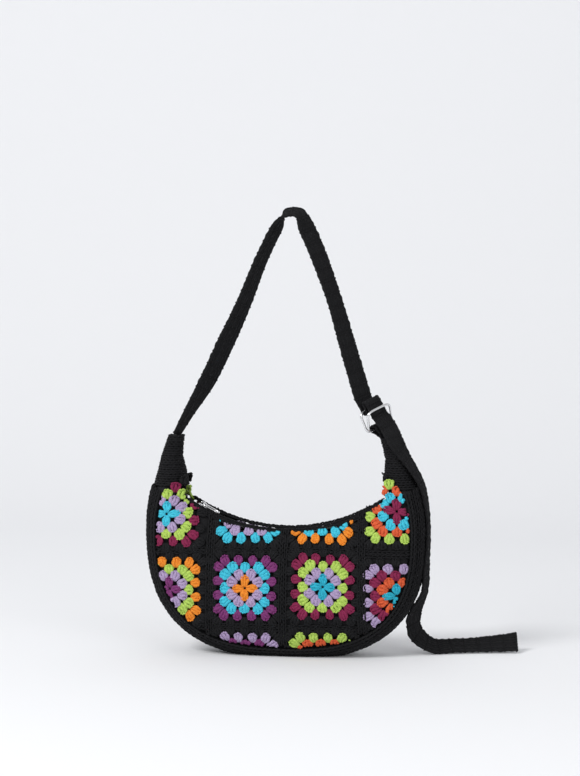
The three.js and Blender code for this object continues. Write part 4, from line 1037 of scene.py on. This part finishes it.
def on_slider(lift):
    """The slider's middle, at a height over the tape."""
    return on_zip(np.zeros(1), np.zeros(1), np.full(1, lift), SLIDER_ANGLE)[0]


def slider():
    work = Work()
    angle = np.linspace(0, 2 * math.pi, 41)[:-1]
    c, s = np.cos(angle), np.sin(angle)
    along = 5.5 * np.sign(c) * abs(c) ** 0.7
    across = 4.4 * np.sign(s) * abs(s) ** 0.7 * (0.86 - 0.14 * c)
    for low, high in ((PLATE_LOW, PLATE_LOW + PLATE_THICK), (UNDER - PLATE_THICK, UNDER)):
        rings = []
        for size, lift in ((0.9, low), (1, low + 0.35), (1, high - 0.45), (0.93, high - 0.1), (0.8, high)):
            rings.append(on_zip(along * size, across * size, np.full(40, lift), SLIDER_ANGLE)[0])
        work.tube(np.array(rings), [on_slider(lift) for lift in (low, high)])
    post = []
    for lift in (UNDER - 0.2, PLATE_LOW + 0.2):
        along = POST_HALF_LONG * np.array([-1, 1, 1, -1])
        across = POST_HALF_WIDE * np.array([-1, -1, 1, 1])
        post.append(on_zip(along, across, np.full(4, lift), SLIDER_ANGLE)[0])
    work.tube(np.array(post), [p.mean(axis=0) for p in post])
    t = np.linspace(0, math.pi, 17)
    high = PLATE_LOW + PLATE_THICK
    rise = high - 0.2 + BRIDGE_RISE * np.sin(t) ** 0.5
    path, _ = on_zip(-3.4 * np.cos(t), np.zeros(17), rise, SLIDER_ANGLE)
    outs = np.broadcast_to([0, -1.0, 0], path.shape)
    work.strands(path[None], outs[None], np.full((1, 17), BRIDGE_RADIUS), sides=12, ply=0, flat=2.0)
    return work


slider().place("slider_body", "slider", steel, ["zip_slider"], "steel")


def puller():
    work = Work()
    far, end = PULLER_LONG - PULLER_HALF, PULLER_LONG - 0.8
    half_loop = [(0, 0.55), (1.6, 0.95), (far / 2, 1), (far, 0.9), (end, 0.45)]
    flat = [(0, -0.55), *half_loop, *[(u, -v) for u, v in half_loop[:0:-1]]]
    hinge = on_slider(PLATE_LOW + PLATE_THICK + PULLER_WIRE / 2 + PULLER_PLAY)[0]
    along = np.array([math.cos(SLIDER_ANGLE), 0, math.sin(SLIDER_ANGLE)])
    wire_loop(work, [hinge + along * u + [0, v * PULLER_HALF, 0] for u, v in flat], PULLER_WIRE)
    return work


puller().place("puller_loop", "puller", steel, ["zip_puller"], "steel")

# The lining shows through the gaps between the stitches
lining_cloth = paint("lining_cloth", written("1a1a1d"), 0.9, fibre=0.2, bump=0.0002, scale=1600)
cloth = nodes["lining"].data
cloth.materials.clear()
cloth.materials.append(lining_cloth)
for face in cloth.polygons:
    face.use_smooth = True
cloth.set_sharp_from_angle(angle=math.radians(50))


# Floor and backdrop, light and camera
FLOOR_FRONT, FLOOR_BACK, SWEEP_RADIUS, BACKDROP_HIGH, BACKDROP_HALF = -1.6, 1.0, 0.8, 3.0, 3.0


def backdrop():
    """A floor that sweeps up into a wall, in metres."""
    profile = [(FLOOR_FRONT, 0.0)]
    for angle in np.linspace(0, math.pi / 2, 13):
        rise = SWEEP_RADIUS * (1 - math.cos(angle))
        profile.append((FLOOR_BACK + SWEEP_RADIUS * math.sin(angle), rise))
    profile.append((FLOOR_BACK + SWEEP_RADIUS, BACKDROP_HIGH))
    points = [(x, y, z) for y, z in profile for x in (-BACKDROP_HALF, BACKDROP_HALF)]
    faces = [(2 * i, 2 * i + 1, 2 * i + 3, 2 * i + 2) for i in range(len(profile) - 1)]
    mesh = bpy.data.meshes.new("backdrop")
    mesh.from_pydata(points, [], faces)
    for face in mesh.polygons:
        face.use_smooth = True
    mesh.materials.append(paint("backdrop", [0.86, 0.865, 0.88], 0.95))
    linked("backdrop", mesh)


backdrop()


def look(made, at, towards):
    made.location = at
    made.rotation_mode = "QUATERNION"
    made.rotation_quaternion = towards.to_track_quat("-Z", "Y")


def lamp(name, at, aim, size, watts):
    light = bpy.data.lights.new(name, "AREA")
    light.shape, light.size, light.energy = "DISK", size, watts
    look(linked(name, light), at, Vector(aim) - Vector(at))


lamp("key", (-1.5, -2.0, 2.3), (0, 0, 0.15), 1.3, 62)
lamp("fill", (1.8, -2.2, 1.2), (0, 0, 0.2), 1.6, 16)

world = bpy.data.worlds.new("studio")
world.use_nodes = True
shade = next(n for n in world.node_tree.nodes if n.type == "BACKGROUND")
shade.inputs["Color"].default_value = (0.93, 0.94, 0.96, 1)
shade.inputs["Strength"].default_value = 0.62
bpy.context.scene.world = world

# The camera looks from where the photograph was taken: its scale is that of a picture 776 pixels tall
AZIMUTH, ELEVATION, DISTANCE = math.radians(9), math.radians(4), 2.6
MM_PER_PIXEL, TALL = 1.04, 776
aim = Vector((0.0042, 0, 0.2787))
level = math.cos(ELEVATION)
back = Vector((math.sin(AZIMUTH) * level, -math.cos(AZIMUTH) * level, math.sin(ELEVATION)))
lens = bpy.data.cameras.new("camera")
lens.sensor_width = 36
lens.lens = 36 * DISTANCE / (MM_PER_PIXEL * TALL / 1000)
camera = linked("camera", lens)
look(camera, aim + back * DISTANCE, -back)
bpy.context.scene.camera = camera
bpy.context.scene.view_settings.view_transform = "Standard"
